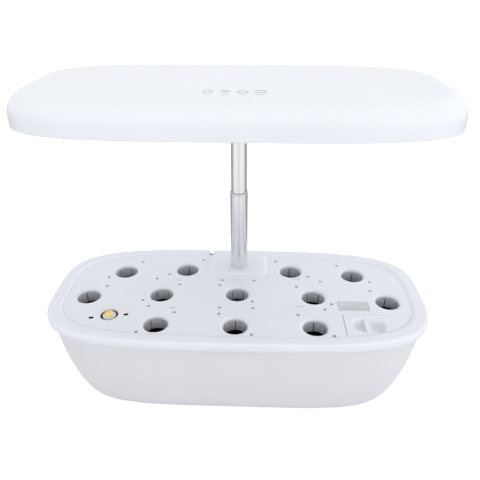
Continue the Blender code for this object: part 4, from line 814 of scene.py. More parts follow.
class Finishes:
    """Every finish of the garden, made once."""

    def __init__(self) -> None:
        """Makes the materials."""
        plastic, steel, ink = MouldedPlastic, SatinSteel, InkAndPaintedShade
        self.deck = plastic("deck_white", (0.855, 0.86, 0.91)).made()
        # Socket fillets and walls: the deck's white with painted shade, darker with depth.
        self.socket = SocketShadePlastic("socket_painted_shade").made()
        self.tank = plastic("tank_white", (0.77, 0.775, 0.80), 0.32).made()
        self.hood = plastic("hood_white", (0.865, 0.88, 0.91), 0.3).made()
        self.inner = plastic("inner_white", (0.76, 0.77, 0.79), 0.42).made()
        self.tank_black = plastic("tank_inside_black", (0.075, 0.056, 0.044), 0.5).made()
        self.black = plastic("black_plastic", (0.022, 0.022, 0.024), 0.42, 0.12, 60).made()
        self.dull_black = plastic("dull_black", (0.010, 0.010, 0.011), 0.75, 0.15, 300,
                                  sheen=0.1).made()
        self.yellow = plastic("yellow_tip", (0.93, 0.70, 0.19), 0.38, 0.04, 300).made()
        # The tip's darker middle colour is painted shade, standing in for a dent in the yellow tip.
        self.tip_dent_shade = plastic("tip_dent_painted_shade", (0.93, 0.58, 0.15), 0.4, 0.05, 300).made()
        self.steel = steel("pole_steel").made()
        self.bright_steel = steel("rim_steel", (0.78, 0.78, 0.79), 0.26).made()
        self.screw_steel = steel("screw_steel", (0.58, 0.58, 0.6), 0.3, (1, 1, 1)).made()
        self.rubber = Rubber("foot_rubber").made()
        self.sponge = Sponge("filter_sponge").made()
        self.green = CircuitBoard("green_board", (0.02, 0.14, 0.055)).made()
        self.light_board = CircuitBoard("light_board", (0.74, 0.75, 0.76), 0.2).made()
        self.frost = FrostedSheet("frosted_diffuser").made()
        self.lens = plastic("led_lens", (0.88, 0.78, 0.35), 0.3, 0.05, 400).made()
        self.grey_ink = ink("grey_marks", (0.46, 0.47, 0.50)).made()
        # Grey painted shade for the hollows of the deck's dimples, made with the ink recipe.
        self.dimple = ink("dimple_painted_shade", (0.42, 0.43, 0.46)).made()
        self.pale_ink = ink("label_rules", (0.50, 0.51, 0.53)).made()
        self.rose_ink = ink("label_band", (0.62, 0.55, 0.56)).made()
        self.dark_ink = ink("touch_marks", (0.27, 0.27, 0.30)).made()
        self.label = ink("label_paper", (0.69, 0.70, 0.73)).made()


# Sub-assemblies ---------------------------------------------------------------------------


@dataclass
class WaterTank:
    """The tapered bowl with its dark inside, on four rubber feet."""

    finishes: Finishes
    half_x: float = 0.210
    half_y: float = 0.090
    end_taper: float = 0.0367
    side_taper: float = 0.0109
    bottom_power: float = 4.65
    wall: float = 0.0024
    fillet: float = 0.014
    straight_share: float = 0.56
    taper_power: float = 3.6
    wall_rows: int = 30
    fillet_rows: int = 12
    lip_inset: float = 0.0035
    lip_rise: float = 0.003
    foot_x: float = 0.135
    foot_y: float = 0.046
    foot_radius: float = 0.008
    foot_height: float = 0.003
    foot_pocket: float = 0.001
    tread_radii: tuple[float, ...] = (0.0056, 0.0038, 0.0020)
    tread: float = 0.0004

    def narrowing(self, share: np.ndarray) -> np.ndarray:
        """The taper at a share of the way down: 0.56 s + 0.44 s^3.6, straight above the top."""
        straight = self.straight_share
        return straight * share + (1 - straight) * np.maximum(share, 0)**self.taper_power

    def wall_rows_from_floor(self, wall: float, floor: float) -> np.ndarray:
        """One face of the wall, from the flat floor through its fillet to the rim.

        The wall's half sizes are a - taper(s) - wall at each share s of the way down. Below
        the fillet's start, half sizes and height follow the quadratic curve from the wall,
        along its own slope, to the flat floor.

        Args:
            wall: How far the face lies inside the outer one.
            floor: How far its floor lies above the outer one.

        Returns:
            Grid rows from the floor up.
        """
        drop = LEVELS.rim_bottom - LEVELS.tank_bottom
        last = 1 - self.fillet / drop
        share = np.append(np.linspace(last, 0, self.wall_rows),
                          (LEVELS.rim_bottom - LEVELS.skirt_bottom) / drop)
        narrow = self.narrowing(share)
        slope = float(np.diff(self.narrowing(np.array((last, last + 0.001))))[0] / 0.001 / drop)
        foot = LEVELS.tank_bottom + floor
        rise = self.fillet - floor
        step = np.linspace(1, 0, self.fillet_rows + 1)[:-1]
        starts = (narrow[0] * self.end_taper, narrow[0] * self.side_taper,
                  LEVELS.tank_bottom + self.fillet)
        bends = (starts[0] + slope * self.end_taper * rise,
                 starts[1] + slope * self.side_taper * rise, foot)
        ends = (starts[0] + rise, starts[1] + rise, foot)
        inset_x, inset_y, height = (
            (1 - step) ** 2 * start + 2 * step * (1 - step) * bend + step**2 * end
            for start, bend, end in zip(starts, bends, ends))
        inset_x = np.concatenate((inset_x, narrow * self.end_taper)) + wall
        inset_y = np.concatenate((inset_y, narrow * self.side_taper)) + wall
        height = np.concatenate((height, LEVELS.rim_bottom - drop * share))
        share = np.concatenate((np.full(len(step), last), share))
        power = PLAN.deck_power + (self.bottom_power - PLAN.deck_power) * np.maximum(share, 0)
        return np.stack([at_height(superellipse(self.half_x - dx, self.half_y - dy, p), z)
                         for dx, dy, p, z in zip(inset_x, inset_y, power, height)])

    def lip(self, wall: float, height: float) -> np.ndarray:
        """The lip's outline at a height: the deck's, inset to the lip and by a wall."""
        inset = self.lip_inset + wall
        return at_height(superellipse(PLAN.deck_half_x - inset, PLAN.deck_half_y - inset,
                                      PLAN.deck_power), height)

    def foot_places(self) -> list[Point]:
        """Middles of the four feet."""
        return four_places(self.foot_x, self.foot_y)

    def build_bowl(self) -> None:
        """The bowl: outer face, lip, inner face, and a pocket for each foot."""
        skin = Skin("tank_bowl")
        outer = self.wall_rows_from_floor(0, 0)
        lip_foot = LEVELS.skirt_bottom + self.lip_rise
        rows = np.concatenate((outer, [self.lip(0, lip_foot), self.lip(0, LEVELS.tank_top),
                                       self.lip(self.wall, LEVELS.tank_top)]))
        skin.grid(rows)
        inner = self.wall_rows_from_floor(self.wall, LEVELS.floor_top - LEVELS.tank_bottom)
        inner = np.concatenate((inner, [self.lip(self.wall, lip_foot),
                                        self.lip(self.wall, LEVELS.tank_top)]))
        skin.grid(inner, finish=1)
        skin.cap(inner[0], 1)
        pockets = []
        radius = self.foot_radius + GAP
        for centre in self.foot_places():
            pocket = turned(np.array(((radius, LEVELS.tank_bottom),
                                      (radius, LEVELS.tank_bottom + self.foot_pocket))),
                            40, (*centre, 0))
            pockets.append(pocket[0, :, :2])
            skin.grid(pocket)
            skin.cap(pocket[1])
        skin.sheet(LEVELS.tank_bottom, outer[0][:, :2], pockets)
        bowl = skin.made((self.finishes.tank, self.finishes.tank_black))
        show(bowl, Body.TANK, Slot.WHITE, "water_tank")

    def build_feet(self) -> None:
        """The feet: turned pads with a rolled lower edge and three tread grooves."""
        grooves = []
        for radius in self.tread_radii:
            grooves += [(radius + self.tread, 0, 0), (radius, self.tread, 0),
                        (radius - self.tread, 0, 0)]
        profile = rounded_path([(0, self.foot_height, 0),
                                (self.foot_radius, self.foot_height, 0.0003),
                                (self.foot_radius, 0, 0.0008), *grooves, (0, 0, 0)], 4)
        for number, centre in enumerate(self.foot_places(), start=1):
            skin = Skin(f"foot_pad_{number}")
            skin.grid(turned(profile, 48, (*centre, 0)))
            foot = skin.made((self.finishes.rubber,))
            show(foot, Body.TANK, Slot.RUBBER, f"foot_{number}")

    def build(self) -> None:
        """Builds the bowl and its feet."""
        self.build_bowl()
        self.build_feet()


@dataclass(frozen=True)
class Port:
    """The fill port's outline, shared by the deck and its door."""

    half_x: float = 0.1972
    half_y: float = 0.0804
    power: float = PLAN.deck_power
    left: float = 0.118
    back: float = -0.0405
    corner: float = 0.0016
    least_corner: float = 0.0004
    arc_points: int = 40

    def outline(self, growth: float) -> np.ndarray:
        """Two straight sides and a stretch of the panel's curve, with rounded corners.

        Args:
            growth: How far the outline lies outside the door's own.

        Returns:
            The closed outline's points.
        """
        half_x = self.half_x + growth
        half_y = self.half_y + growth
        left = self.left - growth
        back = self.back + growth
        start = math.acos((left / half_x) ** (self.power / 2))
        end = math.asin((-back / half_y) ** (self.power / 2))
        sweep = -start + (start - end) * np.linspace(0, 1, self.arc_points)
        arc = superellipse(half_x, half_y, self.power, sweep)
        radius = max(self.corner + growth, self.least_corner)
        corners = [(left, back, radius), (*arc[0], radius)]
        corners += [(x, y, 0) for x, y in arc[2:-2]]
        corners.append((*arc[-1], radius))
        return rounded_path(corners, 5, closed=True, guard=0)

    def edge(self, growth: float, height: float) -> np.ndarray:
        """The outline at a height, grown outwards."""
        return at_height(self.outline(growth), height)


@dataclass
class GrowDeck:
    """The planting deck: rim, skirt, panel, sockets, port ledge and the pole's plate."""

    finishes: Finishes
    port: Port = Port()
    half_x: float = PLAN.deck_half_x
    half_y: float = PLAN.deck_half_y
    power: float = PLAN.deck_power
    panel_half_x: float = 0.201
    panel_half_y: float = 0.0842
    panel_step: float = 0.0012
    groove_width: float = 0.0011
    groove_depth: float = 0.0004
    rim_fillet: float = 0.0034
    bulge_drop: float = 0.0064
    skirt_tuck: float = 0.0008
    skirt_inner: float = 0.0032
    bore: float = 0.0131
    fillet: float = 0.004
    socket_wall: float = 0.002
    socket_depth: float = 0.0175
    flare: float = 0.003
    flare_drop: float = 0.0008
    slits: int = 6
    slit_top: float = 0.0055
    slit_width: float = 0.0010
    segment_points: int = 15
    door_thickness: float = PLAN.door_thickness
    ledge: float = 0.002
    ledge_rounding: float = 0.0004
    float_x: float = PLAN.float_place[0]
    float_y: float = PLAN.float_place[1]
    float_hole: float = 0.0099
    hook_half_x: float = 0.0025
    hook_half_y: float = 0.0018
    hook_corner: float = 0.0005
    hook_angle: float = math.radians(10.6)
    hook_spread: float = 0.0187
    hook_offset: float = -0.0030
    catch_depths: tuple[Point, ...] = ((0.94, 0.0006), (0.94, 0.0002), (0.90, 0.0001))
    dimple: tuple[tuple[float, float, float], ...] = (
        (0.0024, 0, 0), (0.0020, 0, 0.0003), (0.0017, -0.0008, 0.0003), (0, -0.0011, 0))
    dimple_side_rows: int = 5
    pole_y: float = PLAN.pole_y
    pole_hole: float = 0.01055
    pole_clearance: float = 0.0002
    boss_radius: float = 0.0034
    boss_drop: float = 0.005
    boss_circle: float = 0.019
    boss_floor: float = 0.0003
    notch_x: float = -0.038
    notch_width: float = 0.0057
    notch_front: float = 0.0836
    notch_back: float = 0.099
    cut_margin: float = 0.002
    channel_x: float = -0.0415
    channel_front: float = 0.052
    channel_depth: float = 0.0006
    plate_half_x: float = 0.036
    plate_front: float = 0.035
    plate_back: float = 0.088
    plate_corner: float = 0.012
    plate_ramp: float = 0.0042
    plate_rounding: float = 0.0018
    plate_border: float = 0.009
    plate_sink: float = 0.0004

    def sockets(self) -> list[tuple[float, float, float]]:
        """Middle of each plant socket, and the turn of its slits as a share of their pitch."""
        return [(-0.1415, 0.0400, 0.33), (-0.0651, 0.0470, 0.5), (0.0651, 0.0470, 0.5),
                (0.1415, 0.0400, 0.31), (-0.1732, -0.0142, 0), (-0.0889, -0.0076, 0.1),
                (0, -0.0042, 0), (0.0889, -0.0076, -0.1), (0.1732, -0.0142, 0.42),
                (-0.0861, -0.0624, 0.1), (0, -0.0629, 0.5), (0.0861, -0.0624, 0.5)]

    def edge(self, inset: float, height: float) -> np.ndarray:
        """The deck's outline at a height, inset from its widest."""
        return at_height(superellipse(self.half_x - inset, self.half_y - inset, self.power),
                         height)

    def panel_edge(self, inset: float, height: float) -> np.ndarray:
        """The panel's outline at a height, inset from the top of its step."""
        return at_height(superellipse(self.panel_half_x - inset, self.panel_half_y - inset,
                                      self.power), height)

    def rim_rows(self) -> np.ndarray:
        """The rim from the panel, through the groove at its foot, over its rounded edge,
        down the skirt and up inside it.
        """
        floor = LEVELS.panel_top - self.groove_depth
        inner = self.panel_step + self.groove_width
        step = rounded_path([(inner + 0.004, LEVELS.panel_top, 0),
                             (inner + 0.0002, LEVELS.panel_top, 0.0001),
                             (inner, floor, 0.0001), (self.panel_step, floor, 0.0003),
                             (0, LEVELS.deck_top, 0.0006),
                             (-0.004, LEVELS.deck_top, 0)], 5)[1:-1]
        angle = np.linspace(0, math.pi / 2, 13)
        radius = self.rim_fillet
        shoulder = np.stack((radius * (1 - np.sin(angle)),
                             LEVELS.deck_top - radius * (1 - np.cos(angle))), axis=1)
        low = LEVELS.skirt_bottom
        bulge = LEVELS.deck_top - self.bulge_drop
        share = np.linspace(0, 1, 8)
        side = np.stack((self.skirt_tuck * share**2, bulge + (low + 0.0006 - bulge) * share),
                        axis=1)
        hem = rounded_path([(self.skirt_tuck, low + 0.002, 0), (self.skirt_tuck, low, 0.0005),
                            (self.skirt_inner, low, 0.0005),
                            (self.skirt_inner, LEVELS.panel_under, 0)], 4)[2:]
        outer = np.vstack(((radius + GAP, LEVELS.deck_top), shoulder, side, hem))
        return np.concatenate((swept(self.panel_edge, step), swept(self.edge, outer)))

    def socket(self, skin: Skin, centre: Point, turn: float) -> tuple[np.ndarray, np.ndarray]:
        """One plant socket: fillet, bore, flare and a wall segment between each two slits.

        Radius r(u) and height z(u) follow the quarter round from panel to bore. Columns
        stand at the angles of the segments, so that a slit is the step between two.

        Args:
            skin: The deck's surface.
            centre: The socket's middle.
            turn: The slits' turn, as a share of their pitch.

        Returns:
            The loops that the socket cuts in the panel's top and underside.
        """
        middle = self.bore + self.socket_wall / 2
        half = math.asin(self.slit_width / 2 / middle)
        pitch = 2 * math.pi / self.slits
        segment = np.linspace(half, pitch - half, self.segment_points)
        segments = (np.arange(self.slits)[:, None] + turn) * pitch + segment
        outer = self.bore + self.socket_wall
        slit = LEVELS.panel_top - self.slit_top

        def ring(angles: np.ndarray, profile: np.ndarray) -> np.ndarray:
            """Profile points at each angle round the socket."""
            radius = profile[:, 0, None]
            height = np.broadcast_to(profile[:, 1, None], (len(profile), len(angles)))
            return np.stack((centre[0] + radius * np.cos(angles),
                             centre[1] + radius * np.sin(angles), height), axis=-1)

        bend = np.linspace(0, math.pi / 2, 10)
        radius = self.bore + self.fillet * (1 - np.sin(bend))
        height = LEVELS.panel_top - self.fillet * (1 - np.cos(bend))
        fillet = np.stack((radius, height), axis=1)
        inner = np.vstack(((self.bore + self.fillet + GAP, LEVELS.panel_top), fillet,
                           (self.bore, slit)))
        shell = np.array(((outer, slit), (outer + self.flare,
                                          LEVELS.panel_under - self.flare_drop),
                          (outer + self.flare, LEVELS.panel_under)))
        every = segments.ravel()
        top = ring(every, inner)
        under = ring(every, shell)
        # Fillet, bore and wall segments take finish 2, the plastic with painted shade.
        skin.grid(top, finish=2)
        skin.grid(under)
        low = LEVELS.panel_top - self.socket_depth
        wall = rounded_path([(self.bore, slit, 0), (self.bore, low, 0.0004),
                             (outer, low, 0.0004), (outer, slit, 0)], 3)
        for number in range(self.slits):
            rows = ring(segments[number], wall)
            skin.grid(rows, closed=False, finish=2)
            skin.cap(rows[:, 0], 2)
            skin.cap(rows[:, -1], 2)
            after = ring(segments[(number + 1) % self.slits][:1], wall)
            skin.cap(np.stack((rows[0, -1], rows[-1, -1], after[-1, 0], after[0, 0])), 2)
        return top[0, :, :2], under[-1, :, :2]

    def shaft(self, skin: Skin, outline: np.ndarray, rounding: float) -> np.ndarray:
        """A straight hole through the panel with a rounded upper edge.

        Args:
            skin: The deck's surface.
            outline: The hole's outline below its rounding.
            rounding: Radius of the upper edge.

        Returns:
            The loop that the hole cuts in the panel's top.
        """
        middle = outline.mean(axis=0)
        away = outline - middle
        outward = away / np.hypot(*away.T)[:, None]
        profile = rounded_path([(rounding + GAP, LEVELS.panel_top, 0),
                                (0, LEVELS.panel_top, rounding),
                                (0, LEVELS.panel_under, 0)], 4)
        rows = swept(lambda growth, height: at_height(outline + growth * outward, height),
                     profile)
        skin.grid(rows)
        return rows[0, :, :2]

    def hook_outline(self, side: int) -> np.ndarray:
        """The slot of one hook, turned with the guide."""
        slot = rounded_box(self.hook_half_x, self.hook_half_y, self.hook_corner, 3)
        cosine, sine = math.cos(self.hook_angle), math.sin(self.hook_angle)
        spun = slot @ np.array(((cosine, sine), (-sine, cosine)))
        return spun + (self.float_x + side * self.hook_spread * cosine,
                       self.float_y + self.hook_offset + side * self.hook_spread * sine)

    def port_hole(self, skin: Skin) -> tuple[np.ndarray, np.ndarray]:
        """The fill port: a rounded edge, the recess for the door, and the ledge it lies on."""
        shelf = LEVELS.panel_top - self.door_thickness - GAP
        foot = shelf - self.ledge
        rounding = self.ledge_rounding
        profile = rounded_path([(GAP + rounding, LEVELS.panel_top, 0),
                                (GAP, LEVELS.panel_top, rounding / 4), (GAP, shelf, 0),
                                (-self.ledge, shelf, rounding), (-self.ledge, foot, 0),
                                (GAP + self.ledge, foot, 0),
                                (GAP + self.ledge, LEVELS.panel_under, 0)], 3)
        rows = swept(self.port.edge, profile)
        skin.grid(rows)
        return rows[0, :, :2], rows[-1, :, :2]

    def boss_places(self) -> list[Point]:
        """Middles of the pole socket's four bosses."""
        reach = self.boss_circle * math.sqrt(0.5)
        return four_places(reach, reach, (0, self.pole_y))

    def dimples(self) -> list[Point]:
        """Places of the small round dimples beside the sockets."""
        pairs = ((0.047, 0.069), (0.125, 0.061), (0.086, 0.0345), (0.100, 0.024),
                 (0.160, 0.0248), (0.0192, 0.0233), (0.0705, 0.0118), (0.157, 0.0056),
                 (0.1082, -0.0215), (0.0995, -0.0318), (0.0189, -0.0322), (0.0688, -0.0427),
                 (0.1041, -0.0771))
        places = [(side * x, y) for x, y in pairs for side in (-1, 1)]
        return places + [(-0.022, 0.0123), (0.0178, -0.0191), (-0.0186, -0.0435),
                         (0.0178, -0.078)]

    def cutter(self, name: str, outline: Sequence[Point], low: float, high: float
               ) -> bpy.types.Object:
        """An upright prism that a cut takes away."""
        skin = Skin(name)
        loop = np.array(outline, float)
        skin.tube(np.stack((at_height(loop, low), at_height(loop, high))))
        return skin.made(())

    def notch_cutter(self, name: str) -> bpy.types.Object:
        """The cable notch in the rear rim: a slot with a half-round front end."""
        half = self.notch_width / 2
        front = self.notch_front + half
        sweep = np.linspace(math.pi, 2 * math.pi, 17)
        arc = np.stack((self.notch_x + half * np.cos(sweep), front + half * np.sin(sweep)), 1)
        outline = [(self.notch_x + half, self.notch_back),
                   (self.notch_x - half, self.notch_back), *arc.tolist()]
        return self.cutter(name, outline, LEVELS.rim_bottom - self.cut_margin,
                           LEVELS.plate_top + self.cut_margin)

    def channel_cutter(self) -> bpy.types.Object:
        """The shallow channel that runs forward from the notch beside the plate."""
        half = self.notch_width / 2
        back = self.notch_front + half
        outline = [(self.notch_x + half, back), (self.notch_x - half, back),
                   (self.channel_x - half, self.channel_front),
                   (self.channel_x + half, self.channel_front)]
        return self.cutter("cable_channel_cutter", outline,
                           LEVELS.panel_top - self.channel_depth,
                           LEVELS.plate_top + self.cut_margin)

    def build_shell(self) -> None:
        """The deck's one-piece moulding."""
        skin = Skin("deck_shell")
        rim = self.rim_rows()
        skin.grid(rim)
        top_holes = []
        under_holes = []
        for x, y, turn in self.sockets():
            top, under = self.socket(skin, (x, y), turn)
            top_holes.append(top)
            under_holes.append(under)
        shafts = [(circle(self.float_hole, 72, (self.float_x, self.float_y)), 0.0007),
                  (circle(self.pole_hole + self.pole_clearance, 72, (0, self.pole_y)), 0.0002),
                  (self.hook_outline(-1), 0.0003), (self.hook_outline(1), 0.0003)]
        for outline, rounding in shafts:
            top_holes.append(self.shaft(skin, outline, rounding))
            under_holes.append(outline)
        top, under = self.port_hole(skin)
        top_holes.append(top)
        under_holes.append(under)
        dimple = rounded_path(self.dimple, 3)
        for centre in self.dimples():
            rows = turned(dimple, 20, (*centre, LEVELS.panel_top))
            skin.grid(rows[:self.dimple_side_rows])
            # The dimple's hollow takes finish 1, its grey painted shade.
            skin.grid(rows[self.dimple_side_rows - 1:], finish=1)
            top_holes.append(rows[0, :, :2])
        foot = LEVELS.panel_under - self.boss_drop
        floor = LEVELS.panel_under - self.boss_floor
        boss = rounded_path([(self.boss_radius, LEVELS.panel_under, 0),
                             (self.boss_radius, foot, 0.0004), (PLAN.screw_bore, foot, 0.0002),
                             (PLAN.screw_bore, floor, 0), (0, floor, 0)], 3)
        for centre in self.boss_places():
            rows = turned(boss, 32, (*centre, 0))
            skin.grid(rows)
            under_holes.append(rows[0, :, :2])
        skin.sheet(LEVELS.panel_top, rim[0, :, :2], top_holes)
        skin.sheet(LEVELS.panel_under, rim[-1, :, :2], under_holes)
        shell = skin.made((self.finishes.deck, self.finishes.dimple, self.finishes.socket))
        carve(shell, self.channel_cutter(), self.notch_cutter("cable_notch_cutter"))
        show(shell, Body.DECK, Slot.WHITE, "grow_deck")

    def build_plate(self) -> None:
        """The raised plate round the pole, with a soft ramp and a rounded pole hole."""
        skin = Skin("pole_plate")
        middle = (self.plate_front + self.plate_back) / 2
        half_y = (self.plate_back - self.plate_front) / 2
        top = LEVELS.plate_top

        def edge(inset: float, height: float) -> np.ndarray:
            """The plate's outline at a height, inset from its widest."""
            outline = rounded_box(self.plate_half_x - inset, half_y - inset,
                                  self.plate_corner - inset, 12, (0, middle))
            return at_height(outline, height)

        foot = LEVELS.panel_under + self.plate_sink
        side = rounded_path([(0, foot, 0), (0, LEVELS.panel_top + 0.0002, 0.0002),
                             (self.plate_ramp, top, self.plate_rounding),
                             (self.plate_border, top, 0)], 7)[:-1]
        rows = swept(edge, side)
        skin.grid(rows)
        hole = rounded_path([(self.pole_hole + 0.004, top, 0), (self.pole_hole, top, 0.0002),
                             (self.pole_hole, foot, 0)], 5)[1:]
        bore = turned(hole, 96, (0, self.pole_y, 0))
        skin.grid(bore)
        skin.sheet(top, rows[-1, :, :2], [bore[0, :, :2]])
        skin.sheet(foot, rows[0, :, :2], [bore[-1, :, :2]])
        plate = skin.made((self.finishes.deck,))
        carve(plate, self.notch_cutter("plate_notch_cutter"))
        show(plate, Body.DECK, Slot.WHITE)

    def build_catches(self) -> None:
        """The tops of the two hooks' catches, just under the panel in their slots."""
        for number, side in enumerate((-1, 1), start=1):
            outline = self.hook_outline(side)
            middle = outline.mean(axis=0)
            skin = Skin(f"guide_catch_{number}")
            skin.tube(np.stack([at_height(middle + (outline - middle) * share,
                                          LEVELS.panel_top - depth)
                                for share, depth in self.catch_depths]))
            show(skin.made((self.finishes.dull_black,)), Body.DECK, Slot.BLACK)

    def build(self) -> None:
        """Builds the shell, the plate and the catches."""
        self.build_shell()
        self.build_plate()
        self.build_catches()


@dataclass
class DeckMarks:
    """The plain write-on label and the short dashes beside four sockets."""

    finishes: Finishes
    x: float = 0.1325
    y: float = -0.0249
    half_x: float = 0.0177
    half_y: float = 0.0084
    corner: float = 0.0012
    paper: float = 0.00012
    ink: float = 0.00002
    frame: float = 0.0008
    margin: float = 0.0028
    rules: tuple[tuple[float, float, float, int], ...] = (
        (0.50, 0.0095, 0.0007, 2), (0.20, 0.0095, 0.0007, 2), (-0.08, 0, 0.0007, 2),
        (-0.55, 0, 0.0032, 3))
    dashes: tuple[Point, ...] = ((0.0726, 0.0284), (-0.0735, 0.0213), (0.0727, -0.0273),
                                 (-0.0721, -0.0345))
    dash_half: float = 0.0037
    dash_width: float = 0.0010

    def outline(self, inset: float) -> np.ndarray:
        """The label's outline, inset from its edge."""
        return rounded_box(self.half_x - inset, self.half_y - inset,
                           max(self.corner - inset, 0.0003), 5, (self.x, self.y))

    def build(self) -> None:
        """Builds the label with its printed frame, rules and band, and the dashes.

        A rule is given as its place as a share of the label's half depth, its indent, its
        width and its finish.
        """
        skin = Skin("deck_label")
        top = LEVELS.panel_top + self.paper
        skin.tube(np.stack((at_height(self.outline(0), LEVELS.panel_top),
                            at_height(self.outline(0), top))))
        skin.band(self.outline(self.frame), self.frame, top, self.ink, True, 1)
        left = self.x - self.half_x + self.margin
        right = self.x + self.half_x - self.margin
        for share, indent, width, finish in self.rules:
            place = self.y + share * self.half_y
            line = np.array(((left + indent, place), (right, place)))
            skin.band(line, width, top, self.ink, False, finish)
        show(skin.made((self.finishes.label, self.finishes.grey_ink, self.finishes.pale_ink,
                        self.finishes.rose_ink)), Body.DECK, Slot.WHITE)
        skin = Skin("deck_dashes")
        for x, y in self.dashes:
            dash = np.array(((x - self.dash_half, y), (x + self.dash_half, y)))
            skin.band(dash, self.dash_width, LEVELS.panel_top, self.ink)
        show(skin.made((self.finishes.grey_ink,)), Body.DECK, Slot.BLACK)


@dataclass
class FillDoor:
    """The lift-off fill door with its pinch recess and the ridge across it."""

    finishes: Finishes
    port: Port = Port(left=0.1183)
    thickness: float = PLAN.door_thickness
    centre_x: float = 0.1445
    centre_y: float = -0.057
    half_x: float = 0.018
    half_y: float = 0.012
    power: float = 2.6
    depth: float = 0.007
    slope: float = 0.004
    wall: float = 0.0014
    bend_slope: float = 0.35
    bend_depth: float = 0.62
    floor_inset: float = 0.008
    edge_inset: float = 0.003
    ridge_offset: float = -0.0015
    ridge_sink: float = 0.0003
    ridge_shape: tuple[tuple[float, float, float], ...] = (
        (0.0048, 1.0, 0), (0.0031, 0.86, 0.0012), (0.0026, 0.12, 0.0008), (0.0, 0.10, 0))

    def dish(self, growth: float, depth: float) -> np.ndarray:
        """The recess's outline at a depth below the door's top, grown outwards."""
        outline = superellipse(self.half_x + growth, self.half_y + growth, self.power,
                               SWEEP[::2], (self.centre_x, self.centre_y))
        return at_height(outline, LEVELS.panel_top - depth)

    def build(self) -> None:
        """Builds the door: a plate with rounded edges, the dish under it and the ridge."""
        skin = Skin("door_leaf")
        top = LEVELS.panel_top
        low = top - self.thickness
        edge = rounded_path([(-self.edge_inset, top, 0), (0, top, 0.0001), (0, low, 0.0003),
                             (-self.edge_inset, low, 0)], 4)[1:-1]
        rows = swept(self.port.edge, edge)
        skin.grid(rows)
        slope = self.slope
        inner = rounded_path([(self.edge_inset, 0, 0), (0, 0, 0.0016),
                              (-self.bend_slope * slope, self.bend_depth * self.depth, 0.001),
                              (-slope, self.depth, 0.0022),
                              (-self.floor_inset, self.depth, 0)], 7)[1:]
        dish = swept(self.dish, inner)
        skin.grid(dish)
        skin.cap(dish[-1])
        outer = rounded_path([(self.wall, self.thickness, 0), (self.wall, self.depth, 0.002),
                              (-slope, self.depth + self.wall, 0.002),
                              (-self.floor_inset, self.depth + self.wall, 0)], 5)
        cup = swept(self.dish, outer)
        skin.grid(cup)
        skin.cap(cup[-1])
        skin.sheet(top, rows[0, :, :2], [dish[0, :, :2]])
        skin.sheet(low, rows[-1, :, :2], [cup[0, :, :2]])
        self.ridge(skin)
        leaf = skin.made((self.finishes.deck,))
        show(leaf, Body.DOOR, Slot.WHITE, "fill_door")

    def ridge(self, skin: Skin) -> None:
        """The ridge: a flared cross-section carried across the dish and sunk in its walls.

        Its shape is given as half width, share of the dish's depth and rounding, from the
        foot to the top's middle. Its half length at a share s is reach - 0.62 slope s, as the
        dish narrows.
        """
        profile = rounded_path(self.ridge_shape, 6, guard=0)
        side = np.concatenate((profile, (profile * (-1, 1))[-2::-1]))
        along = np.linspace(-1, 1, 9)
        depth = side[:, 1, None] * (self.depth + self.wall / 2)
        reach = (self.half_y + self.ridge_sink
                 - self.bend_depth * self.slope * side[:, 1, None])
        x = self.centre_x + self.ridge_offset + side[:, 0, None] + 0 * along
        y = self.centre_y + reach * along
        z = LEVELS.panel_top - depth + 0 * along
        rows = np.stack((x, y, z), axis=-1)
        skin.grid(np.concatenate((rows, rows[:1])), closed=False)
        skin.cap(rows[:, 0])
        skin.cap(rows[:, -1])


@dataclass
class WaterFloat:
    """The hollow float: its stem and body, and the yellow tip."""

    finishes: Finishes
    x: float = PLAN.float_place[0]
    y: float = PLAN.float_place[1]
    stem: float = 0.0072
    body: float = 0.0116
    body_height: float = 0.024
    wall: float = 0.0016
    cap_drop: float = 0.0005
    cap_thickness: float = 0.005
    guide_top: float = 0.002
    travel: float = 0.021
    tip: float = 0.0043
    tip_height: float = 0.0042
    tip_power: float = 3.0
    dent_shade_radius: float = 0.0021
    tip_sink: float = 0.0001

    def build(self) -> None:
        """Builds the float, and its tip as a flattened dome |r/R|^n + |z/h|^n = 1."""
        place = (self.x, self.y, LEVELS.panel_top)
        cap = -self.cap_drop
        ceiling = LEVELS.panel_under - LEVELS.panel_top - GAP - self.guide_top
        shoulder = ceiling - self.travel - GAP
        foot = shoulder - self.body_height
        inner = self.body - self.wall
        bore = self.stem - self.wall
        hollow = cap - self.cap_thickness
        profile = rounded_path([
            (0, cap, 0), (self.stem, cap, 0.0009), (self.stem, shoulder, 0.0006),
            (self.body, shoulder, 0.0012), (self.body, foot, 0.0006), (inner, foot, 0.0003),
            (inner, shoulder - 2 * self.wall, 0.001), (bore, shoulder - self.wall, 0.0005),
            (bore, hollow, 0.0005), (0, hollow, 0)], 5)
        skin = Skin("float_stem")
        skin.grid(turned(profile, 72, place))
        show(skin.made((self.finishes.tank,)), Body.FLOAT, Slot.WHITE, "water_float")
        base = cap + GAP / 2
        bend = np.linspace(0, math.pi / 2, 12)
        dome = np.abs(np.stack((np.cos(bend), np.sin(bend)), axis=1)) ** (2 / self.tip_power)
        dome = dome * (self.tip, self.tip_height) + (0, base)
        foot = base - self.tip_sink
        profile = np.vstack(((0, foot), (self.tip, foot), dome))
        skin = Skin("float_button")
        rows = turned(profile, 48, place)
        # The dome's middle takes finish 1: painted shade for a dent.
        split = int(np.argmax(profile[:, 0] < self.dent_shade_radius * (profile[:, 1] > base)))
        skin.grid(rows[:split + 1])
        skin.grid(rows[split:], finish=1)
        show(skin.made((self.finishes.yellow, self.finishes.tip_dent_shade)), Body.FLOAT, Slot.YELLOW,
             "float_tip")


